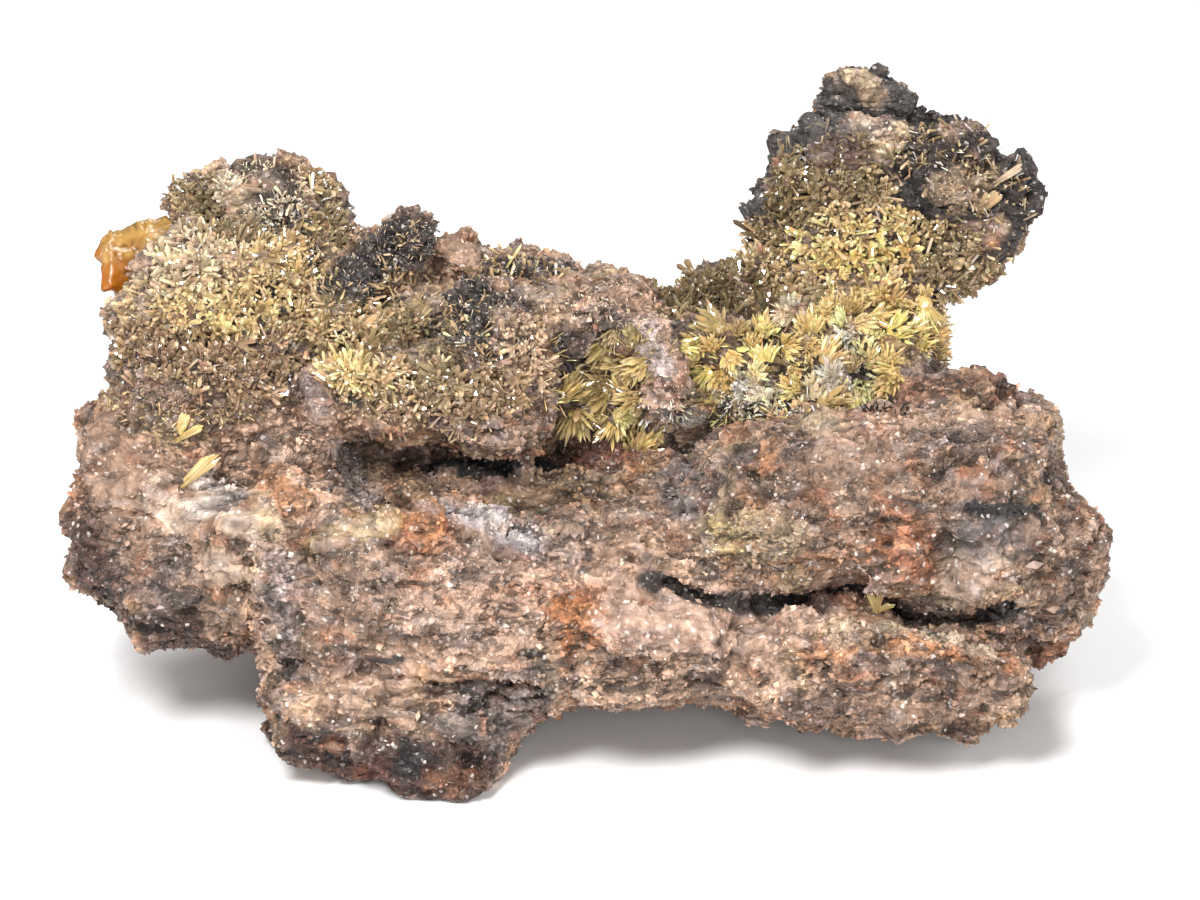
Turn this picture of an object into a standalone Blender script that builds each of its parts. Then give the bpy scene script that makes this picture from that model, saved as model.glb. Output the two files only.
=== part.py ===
"""A mimetite specimen: yellow needle crystals and an orange wulfenite group grown on a ledged gossan matrix.

The matrix is one rock: a low slab, a crest on its left and a leaning horn on its right. Its lumps are placed
as they are seen from the display side, a little above the horizon, in millimetres: across, up and near are
measured from the middle of that view, and the rock is then cut level where it rests.
"""

import random
from math import cos, radians, sin

import bmesh
import bpy
import numpy as np
from mathutils import Euler, Matrix, Vector, noise
from mathutils.bvhtree import BVHTree

MM = 0.001
SEED = 7

# The display view.
VIEW_TILT = radians(20)
VIEW_DISTANCE = 700.0
VIEW_UP = Vector((0, sin(VIEW_TILT), cos(VIEW_TILT)))
VIEW_NEAR = Vector((0, -cos(VIEW_TILT), sin(VIEW_TILT)))
VIEW_EYE = VIEW_NEAR * VIEW_DISTANCE * MM

FLOOR = -27.4  # height of the resting plane, from the middle of the view
ROCK_VOXEL = 1.0
HOLLOW_VOXEL = 0.7
ROCK_TRIANGLES = 3500
GROWTH = 0.3
SWELL_SIZE = 9.0
SWELL_HEIGHT = 1.1
LUMP_SIZE = 5.5
LUMP_HEIGHT = 3.2
LEDGE_PITCH = 5.2
LEDGE_HEIGHT = 2.6
BEDDING_SLOPE = 0.12

# Lumps of rock: across, up, near, half width, half height, half depth, turn in degrees, squareness.
SLAB = {
    "core": (0, -11, -8, 45, 10.5, 20, 0, 2.5),
    "left block": (-44.4, -6.2, -3, 7.8, 9.2, 15, -2, 4.5),
    "left block top": (-48.9, 2.2, -3, 2.9, 2.2, 9, 0, 4.5),
    "left block brow": (-43.5, -2.6, 4, 7.5, 3.2, 9, -2, 3.5),
    "left nub": (-50.2, -11.8, 2, 2.4, 3.0, 6, 0, 3),
    "left underside": (-41, -14.6, 0, 8, 5.2, 14, -8, 2.6),
    "left shoulder": (-34, -9.5, 1, 8.5, 8.8, 15, 0, 2.6),
    "front bulge": (-20, -14, 9, 14.4, 10.2, 12, -3, 3),
    "front bulge corner": (-30, -11.5, 11, 4.2, 5.2, 9, 12, 3.2),
    "orange lump": (-18, -7.0, 13, 3.4, 3.4, 5, 0, 2.2),
    "foot": (-20.8, -25.0, 6, 12.2, 7.0, 13, -4, 2.9),
    "foot sole": (-16.2, -30.4, 5.5, 6.2, 5.0, 12.5, 6, 2.6),
    "foot left": (-27.0, -27.2, 6, 3.6, 3.2, 8, -10, 2.8),
    "foot right": (-9.4, -24.6, 7, 4.2, 3.4, 9, 30, 2.6),
    "foot brow": (-19, -21.6, 13, 10, 3.2, 6, -6, 2.6),
    "middle bulge": (3.5, -18.2, 8, 11.5, 7.3, 12, 0, 2.6),
    "middle swell": (1, -11, 10, 10, 4.6, 8, -8, 2.5),
    "tongue": (25.5, -22.2, 7, 17, 4.9, 12, -3, 3),
    "tongue crest": (27, -19.0, 12, 10, 1.8, 7, -8, 2.5),
    "tongue tip": (39.4, -22.3, 6, 4.2, 2.1, 7, -8, 2.6),
    "right body": (27.5, -5.4, 2, 18.5, 9.2, 16, 0, 3),
    "right belly": (24, -9.5, 10, 14, 4.6, 9, -3, 2.6),
    "right brow": (36, -0.5, 8, 9, 3.4, 8, -4, 2.8),
    "right end": (43.4, -10.8, -3, 6.2, 8.0, 13, 4, 2.8),
    "right toe": (39, -14.2, 7, 5, 3.2, 8, 0, 3),
    "right corner": (34.6, 4.6, -5, 6.6, 2.8, 9, 0, 3.5),
    "right corner end": (42.0, 1.6, -5, 3.8, 3.2, 10, 0, 4.5),
    "right chip": (44.4, -20.2, -4, 2.0, 1.4, 4, 12, 3.5),
    "back": (0, -12, -25, 36, 9.5, 12, 0, 2.8),
    "back left": (-24, -3, -20, 18, 13, 12, 0, 2.5),
    "back middle": (4, 0, -16, 16, 6, 12, 0, 2.5),
    "back right": (28, -6, -22, 17, 9, 12, 0, 2.6),
}
CREST = {
    "crest core": (-27, 8, -6, 20.5, 8, 14, 0, 2.6),
    "hill": (-34, 22.0, -9, 8.4, 6.8, 9, 0, 2.6),
    "hill dome": (-33.5, 27.5, -9, 4, 1.8, 5, 0, 2.4),
    "hill base": (-36.5, 14.5, -5, 10.4, 7.5, 12, 0, 2.5),
    "left flank": (-44.6, 12.0, -4, 3.6, 8.6, 10, -6, 2.4),
    "flank brow": (-41, 6, 4, 6, 4, 7, 0, 2.4),
    "small horn": (-42.2, 26.0, -8, 1.3, 2.0, 2.5, 0, 2.2),
    "finger": (-20.6, 19.8, -3, 5.4, 2.6, 3.6, 44, 2.4),
    "finger root": (-24.6, 17.5, -7, 3.4, 3.8, 6, 0, 2.4),
    "brown knob": (-15, 18.0, -9, 2.6, 2.8, 5, 0, 2.3),
    "middle block": (-11, 8.6, 3, 6.2, 8.2, 9, -8, 3.4),
    "middle top": (-7.5, 16.6, -5, 4.6, 2.6, 8, 0, 2.6),
    "pocket lump": (0.5, 10.4, -3, 6.6, 7.8, 10, 0, 2.5),
    "pocket rim": (5.4, 8.0, 1, 2.4, 6.4, 7, 14, 2.5),
    "lip": (-18, 4.2, 8, 11.5, 3.6, 7, -12, 3),
    "lip corner": (-8.6, 2.4, 8, 3.2, 3.0, 6, 30, 3),
}
HORN = {
    "horn base": (18.5, 8.5, -10, 14, 7.6, 12, 0, 2.4),
    "horn slope": (13.4, 14.8, -13, 8.5, 4.0, 8, 27, 2.4),
    "horn body": (24, 23.0, -14, 7.8, 8.8, 9, 0, 2.6),
    "horn top": (26.4, 33.2, -16, 4.8, 4.0, 6, 0, 3.6),
    "horn top knob": (30.4, 32.8, -15, 1.5, 3.4, 4, 0, 3),
    "horn left shoulder": (19.4, 27.2, -15, 2.0, 3.8, 4, 0, 3),
    "horn left hip": (17.0, 23.2, -14, 2.2, 2.4, 5, 0, 3),
    "horn right": (34.4, 25.4, -14, 5.6, 6.8, 8, 0, 3),
    "horn right head": (35.6, 30.6, -14, 3.2, 1.9, 4, 0, 4),
    "horn right knob": (40.1, 24.0, -13, 2.6, 4.4, 6, 0, 4),
    "horn right hem": (36.4, 18.8, -12, 3.8, 2.8, 5, 14, 2.6),
    "horn stem": (30, 14.5, -13, 3.8, 7, 7, 0, 2.5),
}
HOLLOWS = {
    "crack left": (14.5, -14.4, 15, 5.5, 0.7, 10, -8, 2),
    "crack middle": (22, -15.0, 16, 5.0, 0.8, 11, 3, 2),
    "crack right": (30, -16.4, 16, 6, 1.2, 12, -12, 2),
    "crack end": (37.5, -18.0, 14, 4, 1.3, 12, -6, 2),
    "under lip": (-14, -0.8, 13, 11, 1.8, 9, -6, 2),
    "right hollow": (38.5, -6.6, 12, 4.4, 1.4, 7, -6, 2),
    "pocket": (-1, 6.6, 7, 4.0, 5.2, 7, 0, 2),
    "slit": (-21.5, -20.7, 20, 2.2, 0.8, 5, -10, 2),
}


# Crusts of mimetite needles. Each seat is a spray and the crust round it: across, up, reach of the crust.
CRUSTS = {
    "mimetite_left_crest": (
        (-39.2, 22, 3.2),
        (-35, 23.5, 4),
        (-41, 17, 3.2),
        (-36.5, 17.5, 4),
        (-31, 20, 3.6),
        (-28.5, 24.5, 2.6),
        (-40, 12.5, 3.6),
        (-34, 13, 3.8),
        (-28.5, 15, 3.4),
    ),
    "mimetite_middle_crest": (
        (-25.5, 9.5, 3),
        (-21, 8.5, 3.2),
        (-17.5, 6.5, 3.2),
        (-23, 5, 3),
        (-13, 5, 3.2),
        (-15, 9.5, 2.8),
        (-7.5, 10.5, 2.8),
    ),
    "mimetite_pocket": (
        (-2.5, 5.5, 2.6),
        (0, 8.5, 2.6),
        (1.5, 4, 2.8),
        (4.5, 3, 2.4),
        (3, 11, 2.4),
    ),
    "mimetite_saddle": (
        (11, 8.5, 2.4),
        (15, 9, 3),
        (19, 6.5, 3),
        (22.6, 9.4, 3),
        (26, 12.6, 2.6),
        (29.6, 13.8, 2.3),
        (28, 8, 3),
        (25, 5.5, 2.8),
    ),
    "mimetite_horn": (
        (9.6, 14.4, 2.4),
        (13, 16.5, 3),
        (17, 19, 3.2),
        (19.3, 16.8, 2.4),
        (22, 21, 3.4),
        (19.5, 23.5, 2.8),
        (26.5, 20.8, 3),
        (31, 20.8, 3),
        (27, 25, 3),
        (34.5, 18.5, 2.8),
    ),
}
NEEDLES = 3  # in a spray
NEEDLE_LENGTH = 4.6
NEEDLE_RADIUS = 0.55
NEEDLE_SPREAD = 0.5
NEEDLE_ROOT = 0.65  # of the radius
CRUST_THICKNESS = 1.4
CRUST_RIM = 0.2
CRUST_ROOT = 0.8  # how deep the crust starts in the rock, before that is cut off
CRUST_FACING = -0.1
CRUST_TRIANGLES = 30  # for each seat
GAP = 0.3  # between the rock and what grows on it

# Single crystals and small groups: root (across, up), then each crystal's lean (across, up, near), length, radius.
GROUPS = {
    "mimetite_blade": ((-41.6, -3.4), (((0.8, 0.62, 0.3), 5.4, 0.55), ((0.74, 0.72, 0.34), 4.6, 0.5))),
    "mimetite_ledge_spray": (
        (-42.2, 1.2),
        (((-0.1, 1, 0.5), 3.6, 0.55), ((0.45, 0.9, 0.5), 3.4, 0.5), ((1, 0.5, 0.5), 3.6, 0.5)),
    ),
    "mimetite_crack_spray": (
        (27.6, -16.2),
        (((-0.4, 1, 0.5), 2.8, 0.4), ((0.25, 1, 0.5), 2.8, 0.45), ((1, 0.45, 0.6), 2.2, 0.35)),
    ),
    "mimetite_horn_blade": ((37.8, 23.9), (((0.8, 0.75, 0.5), 3.4, 0.6), ((0.5, 0.9, 0.6), 2.6, 0.5))),
    "mimetite_horn_stick": ((39.4, 26.7), (((0.84, 0.54, 0.25), 3.8, 0.34),)),
}

# Wulfenite tablets: across, up, near, width, thickness, turn about the three axes in degrees.
WULFENITE = (
    (-47.6, 18.0, -6, 4.6, 1.7, 70, 10, 20),
    (-46.6, 20.4, -7, 4.6, 1.5, 50, -20, 0),
    (-44.2, 21.4, -7, 4.4, 1.5, 30, -8, 30),
    (-48.6, 19.8, -8, 3.6, 1.6, 80, 40, 10),
    (-47.2, 15.8, -7, 2.6, 1.4, 60, 20, 45),
)
TABLET_BEVEL = 0.72  # the width of a tablet's faces, of its whole width

# Each kind of thing's colour, roughness and metallic value.
SURFACES = {
    "matrix": ((0.36, 0.25, 0.2), 0.9, 0.0),
    "mimetite": ((0.62, 0.55, 0.22), 0.3, 0.0),
    "wulfenite": ((0.85, 0.38, 0.03), 0.15, 0.0),
}


def from_view(across, up, near):
    """The place of a point seen at (across, up) that stands near mm in front of the middle plane."""
    nearer = 1 - near / VIEW_DISTANCE
    return (Vector((across * nearer, 0, 0)) + VIEW_UP * up * nearer + VIEW_NEAR * near) * MM


def new_object(name, mesh, collection):
    obj = bpy.data.objects.new(name, mesh)
    collection.objects.link(obj)
    return obj


def new_collection(name):
    made = bpy.data.collections.new(name)
    bpy.context.scene.collection.children.link(made)
    return made


def hide(obj):
    """Marks a cutter or a guide, which is not a part of the specimen."""
    obj.hide_render = True
    obj.display_type = "WIRE"
    return obj


def add_lump(bm, across, up, near, half_width, half_height, half_depth, turn, squareness):
    """A rounded lump: a ball at squareness 2, and nearer a block as that grows."""
    made = bmesh.ops.create_icosphere(bm, subdivisions=3, radius=1)["verts"]
    place = from_view(across, up, near)
    tilted = Matrix((Vector((1, 0, 0)), VIEW_UP, VIEW_NEAR)).transposed()
    turned = tilted @ Matrix.Rotation(radians(turn), 3, "Z")
    for vert in made:
        x, y, z = vert.co
        reach = (abs(x) ** squareness + abs(y) ** squareness + abs(z) ** squareness) ** (-1 / squareness)
        shaped = Vector((x * half_width, y * half_height, z * half_depth)) * reach * MM
        vert.co = place + turned @ shaped


def lumps(name, groups, collection):
    bm = bmesh.new()
    for group in groups:
        for lump in group.values():
            add_lump(bm, *lump)
    mesh = bpy.data.meshes.new(name)
    bm.to_mesh(mesh)
    bm.free()
    return new_object(name, mesh, collection)


def applied(obj):
    """obj with its modifiers made part of its mesh."""
    bpy.context.view_layer.update()
    graph = bpy.context.evaluated_depsgraph_get()
    mesh = bpy.data.meshes.new_from_object(obj.evaluated_get(graph))
    obj.modifiers.clear()
    obj.data = mesh
    return obj


def add_remesh(obj, voxel):
    remesh = obj.modifiers.new("union", "REMESH")
    remesh.mode = "VOXEL"
    remesh.voxel_size = voxel * MM
    return obj


def add_boolean(obj, other, operation, solver="EXACT"):
    boolean = obj.modifiers.new(operation.lower(), "BOOLEAN")
    boolean.operation = operation
    boolean.solver = solver
    boolean.object = other
    return boolean


def weather(obj):
    """Roughens the rock: broad swells, angular lumps with pits between them, and ledges along its bedding."""
    mesh = obj.data
    count = len(mesh.vertices)
    places = np.empty(count * 3, np.float32)
    normals = np.empty(count * 3, np.float32)
    mesh.vertices.foreach_get("co", places)
    mesh.vertices.foreach_get("normal", normals)
    places = places.reshape(-1, 3)
    normals = normals.reshape(-1, 3)
    outward = np.empty(count, np.float32)
    for i, place in enumerate(places):
        p = Vector(place) / MM
        near, next_near = noise.voronoi(p / LUMP_SIZE)[0][:2]
        swell = noise.fractal(p / SWELL_SIZE, 0.8, 2.0, 3) * SWELL_HEIGHT
        lump = (min(next_near - near, 0.6) - 0.3) * LUMP_HEIGHT
        bed = (p.z + BEDDING_SLOPE * p.x + 1.6 * noise.noise(p / SWELL_SIZE)) / LEDGE_PITCH
        ledge = (abs(bed % 1 - 0.5) - 0.25) * LEDGE_HEIGHT * (1 - abs(normals[i][2]))
        outward[i] = GROWTH + swell + lump + ledge
    places += normals * outward[:, None] * MM
    mesh.vertices.foreach_set("co", places.ravel())
    mesh.update()
    return obj


def make_matrix(parts, helpers):
    rock = add_remesh(lumps("matrix", (SLAB, CREST, HORN), parts), ROCK_VOXEL)
    applied(rock)
    hollows = hide(applied(add_remesh(lumps("hollows", (HOLLOWS,), helpers), HOLLOW_VOXEL)))
    add_boolean(rock, hollows, "DIFFERENCE")
    applied(rock)
    applied(add_remesh(rock, ROCK_VOXEL))
    weather(rock)
    applied(add_remesh(rock, ROCK_VOXEL))
    detailed = hide(new_object("detailed_rock", rock.data.copy(), helpers))
    thin_out(rock, ROCK_TRIANGLES)
    add_boolean(rock, ground(helpers), "DIFFERENCE")
    return applied(rock), detailed


def thin_out(obj, triangles):
    """Leaves obj about that many triangles, which turns its fine steps into flat facets."""
    obj.data.calc_loop_triangles()
    decimate = obj.modifiers.new("decimate", "DECIMATE")
    decimate.ratio = triangles / len(obj.data.loop_triangles)
    return applied(obj)


def ground(helpers):
    """A cutter below the resting plane, which leaves the rock flat where it stands."""
    bm = bmesh.new()
    bmesh.ops.create_cube(bm, size=1)
    width, height = 200 * MM, 20 * MM
    bmesh.ops.scale(bm, vec=(width, width, height), verts=bm.verts)
    bmesh.ops.translate(bm, vec=(0, 0, FLOOR * MM - height / 2), verts=bm.verts)
    mesh = bpy.data.meshes.new("ground")
    bm.to_mesh(mesh)
    bm.free()
    return hide(new_object("ground", mesh, helpers))


def view_place(point):
    """(across, up) of a point as the display view shows it."""
    ray = point - VIEW_EYE
    on_plane = VIEW_EYE + ray * (VIEW_DISTANCE * MM / -ray.dot(VIEW_NEAR))
    return on_plane.x / MM, on_plane.dot(VIEW_UP) / MM


def seat_on(tree, across, up):
    """The point of the rock that the display view shows at (across, up), and the way the rock faces there."""
    ray = from_view(across, up, 0) - VIEW_EYE
    place, normal, _, _ = tree.ray_cast(VIEW_EYE, ray)
    return place, normal


def fill_pinches(chosen):
    """Adds faces to the set until no two parts of it meet at a single corner."""
    pinched = True
    while pinched:
        pinched = False
        for vert in {vert for face in chosen for vert in face.verts}:
            rim = [edge for edge in vert.link_edges if len(chosen.intersection(edge.link_faces)) == 1]
            if len(rim) > 2:
                chosen.update(vert.link_faces)
                pinched = True


def mound(across, up, seats):
    """How high the crust stands at (across, up), from 0 outside every seat's reach to 1 at a seat."""
    shares = [1 - ((across - x) ** 2 + (up - y) ** 2) / reach**2 for x, y, reach in seats]
    return max(0.0, *shares) ** 0.5


def crust(name, rock, seats, parts):
    """A mounded skin over the rock's surface round the seats. Its underside lies in the rock."""
    bm = bmesh.new()
    bm.from_mesh(rock.data)
    outward = bm.verts.layers.float_vector.new("outward")
    height = bm.verts.layers.float.new("height")
    for vert in bm.verts:
        vert[outward] = vert.normal
        vert[height] = mound(*view_place(vert.co), seats)
    chosen = set()
    for face in bm.faces:
        if face.normal.dot(VIEW_NEAR) > CRUST_FACING and all(vert[height] > 0 for vert in face.verts):
            chosen.add(face)
    fill_pinches(chosen)
    bmesh.ops.delete(bm, geom=[face for face in bm.faces if face not in chosen], context="FACES")
    skin = bmesh.ops.extrude_face_region(bm, geom=bm.faces[:], use_keep_orig=True)["geom"]
    raised = {vert for vert in skin if isinstance(vert, bmesh.types.BMVert)}
    for vert in bm.verts:
        lift = GAP + CRUST_RIM + CRUST_THICKNESS * vert[height] if vert in raised else -CRUST_ROOT
        vert.co += vert[outward] * lift * MM
    mesh = bpy.data.meshes.new(name)
    bm.to_mesh(mesh)
    bm.free()
    return thin_out(new_object(name, mesh, parts), CRUST_TRIANGLES * len(seats))


def add_crystal(bm, root, direction, length, radius):
    """A six-sided crystal, narrow at its root, with a pointed end."""
    tip_length = 0.3 * length
    shaft = length - tip_length
    direction = direction.normalized()
    stand = Matrix.Translation(root) @ direction.to_track_quat("Z", "Y").to_matrix().to_4x4()
    made = bmesh.ops.create_cone(
        bm,
        cap_ends=True,
        segments=6,
        radius1=radius * NEEDLE_ROOT * MM,
        radius2=radius * MM,
        depth=shaft * MM,
        matrix=stand @ Matrix.Translation((0, 0, shaft / 2 * MM)),
    )["verts"]
    end = max({face for vert in made for face in vert.link_faces}, key=lambda face: face.normal.dot(direction))
    bmesh.ops.poke(bm, faces=[end], offset=tip_length * MM)


def crystal_object(name, bm, collection):
    mesh = bpy.data.meshes.new(name)
    bm.to_mesh(mesh)
    bm.free()
    return new_object(name, mesh, collection)


def scatter_direction(normal):
    """A way out of the rock, somewhat to one side of straight."""
    lean = Vector((random.gauss(0, 1), random.gauss(0, 1), random.gauss(0, 1))) * NEEDLE_SPREAD
    return normal + lean + VIEW_NEAR * 0.2


def sprays(name, tree, seats, helpers):
    """A spray of crystals on each of the seats."""
    bm = bmesh.new()
    for across, up, _ in seats:
        place, normal = seat_on(tree, across, up)
        for _ in range(NEEDLES):
            size = random.uniform(0.75, 1.25)
            root = place + normal * (GAP + 0.4) * MM
            add_crystal(bm, root, scatter_direction(normal), NEEDLE_LENGTH * size, NEEDLE_RADIUS * size)
    return hide(crystal_object(name, bm, helpers))


def keep_largest_body(obj):
    """Drops the chips that a cut leaves beside the main body."""
    bm = bmesh.new()
    bm.from_mesh(obj.data)
    unseen = set(bm.verts)
    bodies = []
    while unseen:
        body = set()
        front = [unseen.pop()]
        while front:
            vert = front.pop()
            body.add(vert)
            neighbours = {edge.other_vert(vert) for edge in vert.link_edges} & unseen
            unseen -= neighbours
            front.extend(neighbours)
        bodies.append(body)
    largest = max(bodies, key=len)
    bmesh.ops.delete(bm, geom=[vert for vert in bm.verts if vert not in largest], context="VERTS")
    bm.to_mesh(obj.data)
    bm.free()
    return obj


def clear_of_rock(obj, keep_out):
    """Cuts off what would lie in the rock or within the gap of it, and leaves one body."""
    add_boolean(obj, keep_out, "DIFFERENCE").use_self = True
    return keep_largest_body(applied(obj))


def grown_by(rock, gap, helpers):
    """The rock a little larger all round, which keeps the crystals off it."""
    made = hide(new_object("keep_out", rock.data.copy(), helpers))
    displace = made.modifiers.new("gap", "DISPLACE")
    displace.strength = gap * MM
    displace.mid_level = 0
    return applied(made)


def make_crust(name, detailed, tree, keep_out, seats, parts, helpers):
    made = crust(name, detailed, seats, parts)
    needles = sprays(name + "_needles", tree, seats, helpers)
    add_boolean(made, needles, "UNION").use_self = True
    applied(made)
    return clear_of_rock(made, keep_out)


def make_group(name, tree, keep_out, root, crystals, parts):
    """A few crystals that stand on one root, which starts inside the rock."""
    bm = bmesh.new()
    place, _ = seat_on(tree, *root)
    for (across, up, near), length, radius in crystals:
        direction = (Vector((across, 0, 0)) + VIEW_UP * up + VIEW_NEAR * near).normalized()
        add_crystal(bm, place - direction * 0.8 * MM, direction, length + 0.8, radius)
    return clear_of_rock(crystal_object(name, bm, parts), keep_out)


def make_wulfenite(keep_out, parts):
    """Square tablets with bevelled edges, grown into one another."""
    bm = bmesh.new()
    for across, up, near, width, thickness, *turns in WULFENITE:
        turned = Euler([radians(turn) for turn in turns]).to_matrix().to_4x4()
        stand = Matrix.Translation(from_view(across, up, near)) @ turned
        outline = [(-1, -1), (1, -1), (1, 1), (-1, 1)]
        rings = []
        for height, share in ((-1, TABLET_BEVEL), (0, 1), (1, TABLET_BEVEL)):
            half = width / 2 * share
            corners = [Vector((x * half, y * half, height * thickness / 2)) * MM for x, y in outline]
            rings.append([bm.verts.new(stand @ corner) for corner in corners])
        bm.faces.new(reversed(rings[0]))
        bm.faces.new(rings[-1])
        for low, high in zip(rings, rings[1:]):
            for i in range(4):
                bm.faces.new((low[i], low[(i + 1) % 4], high[(i + 1) % 4], high[i]))
    return clear_of_rock(crystal_object("wulfenite", bm, parts), keep_out)


def paint(obj):
    colour, roughness, metallic = SURFACES[obj.name.split("_")[0]]
    material = bpy.data.materials.new(obj.name)
    material.use_nodes = True
    surface = material.node_tree.nodes["Principled BSDF"]
    surface.inputs["Base Color"].default_value = (*colour, 1)
    surface.inputs["Roughness"].default_value = roughness
    surface.inputs["Metallic"].default_value = metallic
    obj.data.materials.clear()
    obj.data.materials.append(material)


def stand_on_origin(parts):
    """Moves everything so that the origin is at the middle of the specimen's box, at its base."""
    corners = np.array([vert.co for obj in parts.objects for vert in obj.data.vertices])
    low, high = corners.min(axis=0), corners.max(axis=0)
    shift = Vector((-(low[0] + high[0]) / 2, -(low[1] + high[1]) / 2, -low[2]))
    for obj in bpy.data.objects:
        obj.data.transform(Matrix.Translation(shift))


def main():
    for obj in list(bpy.data.objects):
        bpy.data.objects.remove(obj)
    parts = new_collection("mimetite_specimen")
    helpers = new_collection("helpers")
    random.seed(SEED)
    rock, detailed = make_matrix(parts, helpers)
    keep_out = grown_by(rock, GAP, helpers)
    tree = BVHTree.FromPolygons(
        [vert.co for vert in rock.data.vertices], [face.vertices for face in rock.data.polygons]
    )
    for name, seats in CRUSTS.items():
        make_crust(name, detailed, tree, keep_out, seats, parts, helpers)
    for name, (root, crystals) in GROUPS.items():
        make_group(name, tree, keep_out, root, crystals, parts)
    make_wulfenite(keep_out, parts)
    for obj in parts.objects:
        paint(obj)
    stand_on_origin(parts)


main()
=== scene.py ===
"""Looks of the mimetite specimen: a weathered rock with crumbs and quartz grains, mimetite needles
and a wulfenite group."""

from math import cos, pi, radians, sin

import bmesh
import bpy
import numpy as np
from mathutils import Matrix, Vector, noise
from mathutils.bvhtree import BVHTree


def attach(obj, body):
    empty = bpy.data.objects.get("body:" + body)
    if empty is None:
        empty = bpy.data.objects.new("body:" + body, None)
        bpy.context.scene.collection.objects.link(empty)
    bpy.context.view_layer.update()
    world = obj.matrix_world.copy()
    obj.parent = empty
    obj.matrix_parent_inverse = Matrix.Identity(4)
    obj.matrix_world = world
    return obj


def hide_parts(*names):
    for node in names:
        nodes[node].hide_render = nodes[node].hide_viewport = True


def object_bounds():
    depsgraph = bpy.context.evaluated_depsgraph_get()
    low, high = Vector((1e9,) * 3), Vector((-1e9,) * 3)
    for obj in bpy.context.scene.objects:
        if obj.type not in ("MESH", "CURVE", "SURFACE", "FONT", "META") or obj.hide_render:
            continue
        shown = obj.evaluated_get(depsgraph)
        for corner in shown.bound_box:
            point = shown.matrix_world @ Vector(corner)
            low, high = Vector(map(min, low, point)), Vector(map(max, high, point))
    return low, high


MM = 0.001
WIDTH, HEIGHT = 1200, 900  # of the picture, in pixels
PIXEL = 0.1 * MM  # one pixel of the picture, at the view's middle plane
VIEW_CENTRE = Vector((1.4711, -2.4727, 27.4)) * MM
VIEW_TILT = radians(20)
VIEW_DISTANCE = 700 * MM
VIEW_UP = Vector((0, sin(VIEW_TILT), cos(VIEW_TILT)))
VIEW_NEAR = Vector((0, -cos(VIEW_TILT), sin(VIEW_TILT)))
VIEW_EYE = VIEW_CENTRE + VIEW_NEAR * VIEW_DISTANCE

rng = np.random.default_rng(11)

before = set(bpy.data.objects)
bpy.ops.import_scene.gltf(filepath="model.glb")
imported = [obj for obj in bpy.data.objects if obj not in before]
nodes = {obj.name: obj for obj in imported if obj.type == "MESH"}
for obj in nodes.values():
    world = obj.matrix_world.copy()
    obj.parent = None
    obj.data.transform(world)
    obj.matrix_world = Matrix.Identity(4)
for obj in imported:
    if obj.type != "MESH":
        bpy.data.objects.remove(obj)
cad_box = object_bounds()


# --- Places in the picture ---


def plane_point(u, v):
    """The point of the view's middle plane at a pixel."""
    across = Vector((u - WIDTH / 2, 0, 0)) * PIXEL
    return VIEW_CENTRE + across + VIEW_UP * (HEIGHT / 2 - v) * PIXEL


def tree_of(mesh):
    return BVHTree.FromPolygons([v.co for v in mesh.vertices], [p.vertices for p in mesh.polygons])


def hit(tree, u, v):
    """The surface point and its normal at a pixel, or at the nearest place if nothing is there."""
    found = tree.ray_cast(VIEW_EYE, (plane_point(u, v) - VIEW_EYE).normalized())
    if found[0] is None:
        found = tree.find_nearest(plane_point(u, v))
    return found[:2]


def pixels(path):
    """The spots of a path such as "110,450 170,455", each as numbers: u, v and what follows."""
    return [tuple(map(float, spot.split(","))) for spot in path.split()]


def places_on(tree, path):
    """The surface points that show at a path's pixels."""
    return [hit(tree, u, v)[0] for u, v, *_ in pixels(path)]


def distance_to_path(points, path):
    """Each point's distance to a polyline."""
    path = np.asarray(path, float)
    best = np.linalg.norm(points - path[0], axis=1)
    for a, b in zip(path, path[1:]):
        ab = b - a
        t = np.clip(((points - a) @ ab) / max(ab @ ab, 1e-18), 0, 1)
        best = np.minimum(best, np.linalg.norm(points - a - t[:, None] * ab, axis=1))
    return best


def smooth(edge0, edge1, x):
    """0 at the first edge, 1 at the second, and smooth between, in either order."""
    t = np.clip((x - edge0) / (edge1 - edge0), 0, 1)
    return t * t * (3 - 2 * t)


def turned(outward, edge0, edge1):
    """0 to 1 between two edges: a surface facing the camera is at 1, one facing away at -1."""
    return smooth(edge0, edge1, outward @ np.array(VIEW_NEAR))


def behind(outward):
    """How much a surface faces away from the camera, 0 to 1."""
    return turned(outward, -0.1, -0.6)


# --- Mesh helpers ---


def per_vertex(mesh, field):
    out = np.empty(len(mesh.vertices) * 3, np.float32)
    mesh.vertices.foreach_get(field, out)
    return out.reshape(-1, 3).astype(float)


def coords(mesh):
    return per_vertex(mesh, "co")


def normals(mesh):
    return per_vertex(mesh, "normal")


def set_coords(mesh, points):
    mesh.vertices.foreach_set("co", points.astype(np.float32).ravel())
    mesh.update()


def new_object(name, mesh):
    obj = bpy.data.objects.new(name, mesh)
    bpy.context.scene.collection.objects.link(obj)
    return obj


def triangle_mesh(name, points, triangles):
    mesh = bpy.data.meshes.new(name)
    mesh.vertices.add(len(points))
    mesh.vertices.foreach_set("co", points.astype(np.float32).ravel())
    mesh.loops.add(triangles.size)
    mesh.loops.foreach_set("vertex_index", triangles.astype(np.int32).ravel())
    mesh.polygons.add(len(triangles))
    mesh.polygons.foreach_set("loop_start", np.arange(0, triangles.size, 3, dtype=np.int32))
    mesh.update(calc_edges=True)
    mesh.shade_flat()
    return mesh


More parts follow.
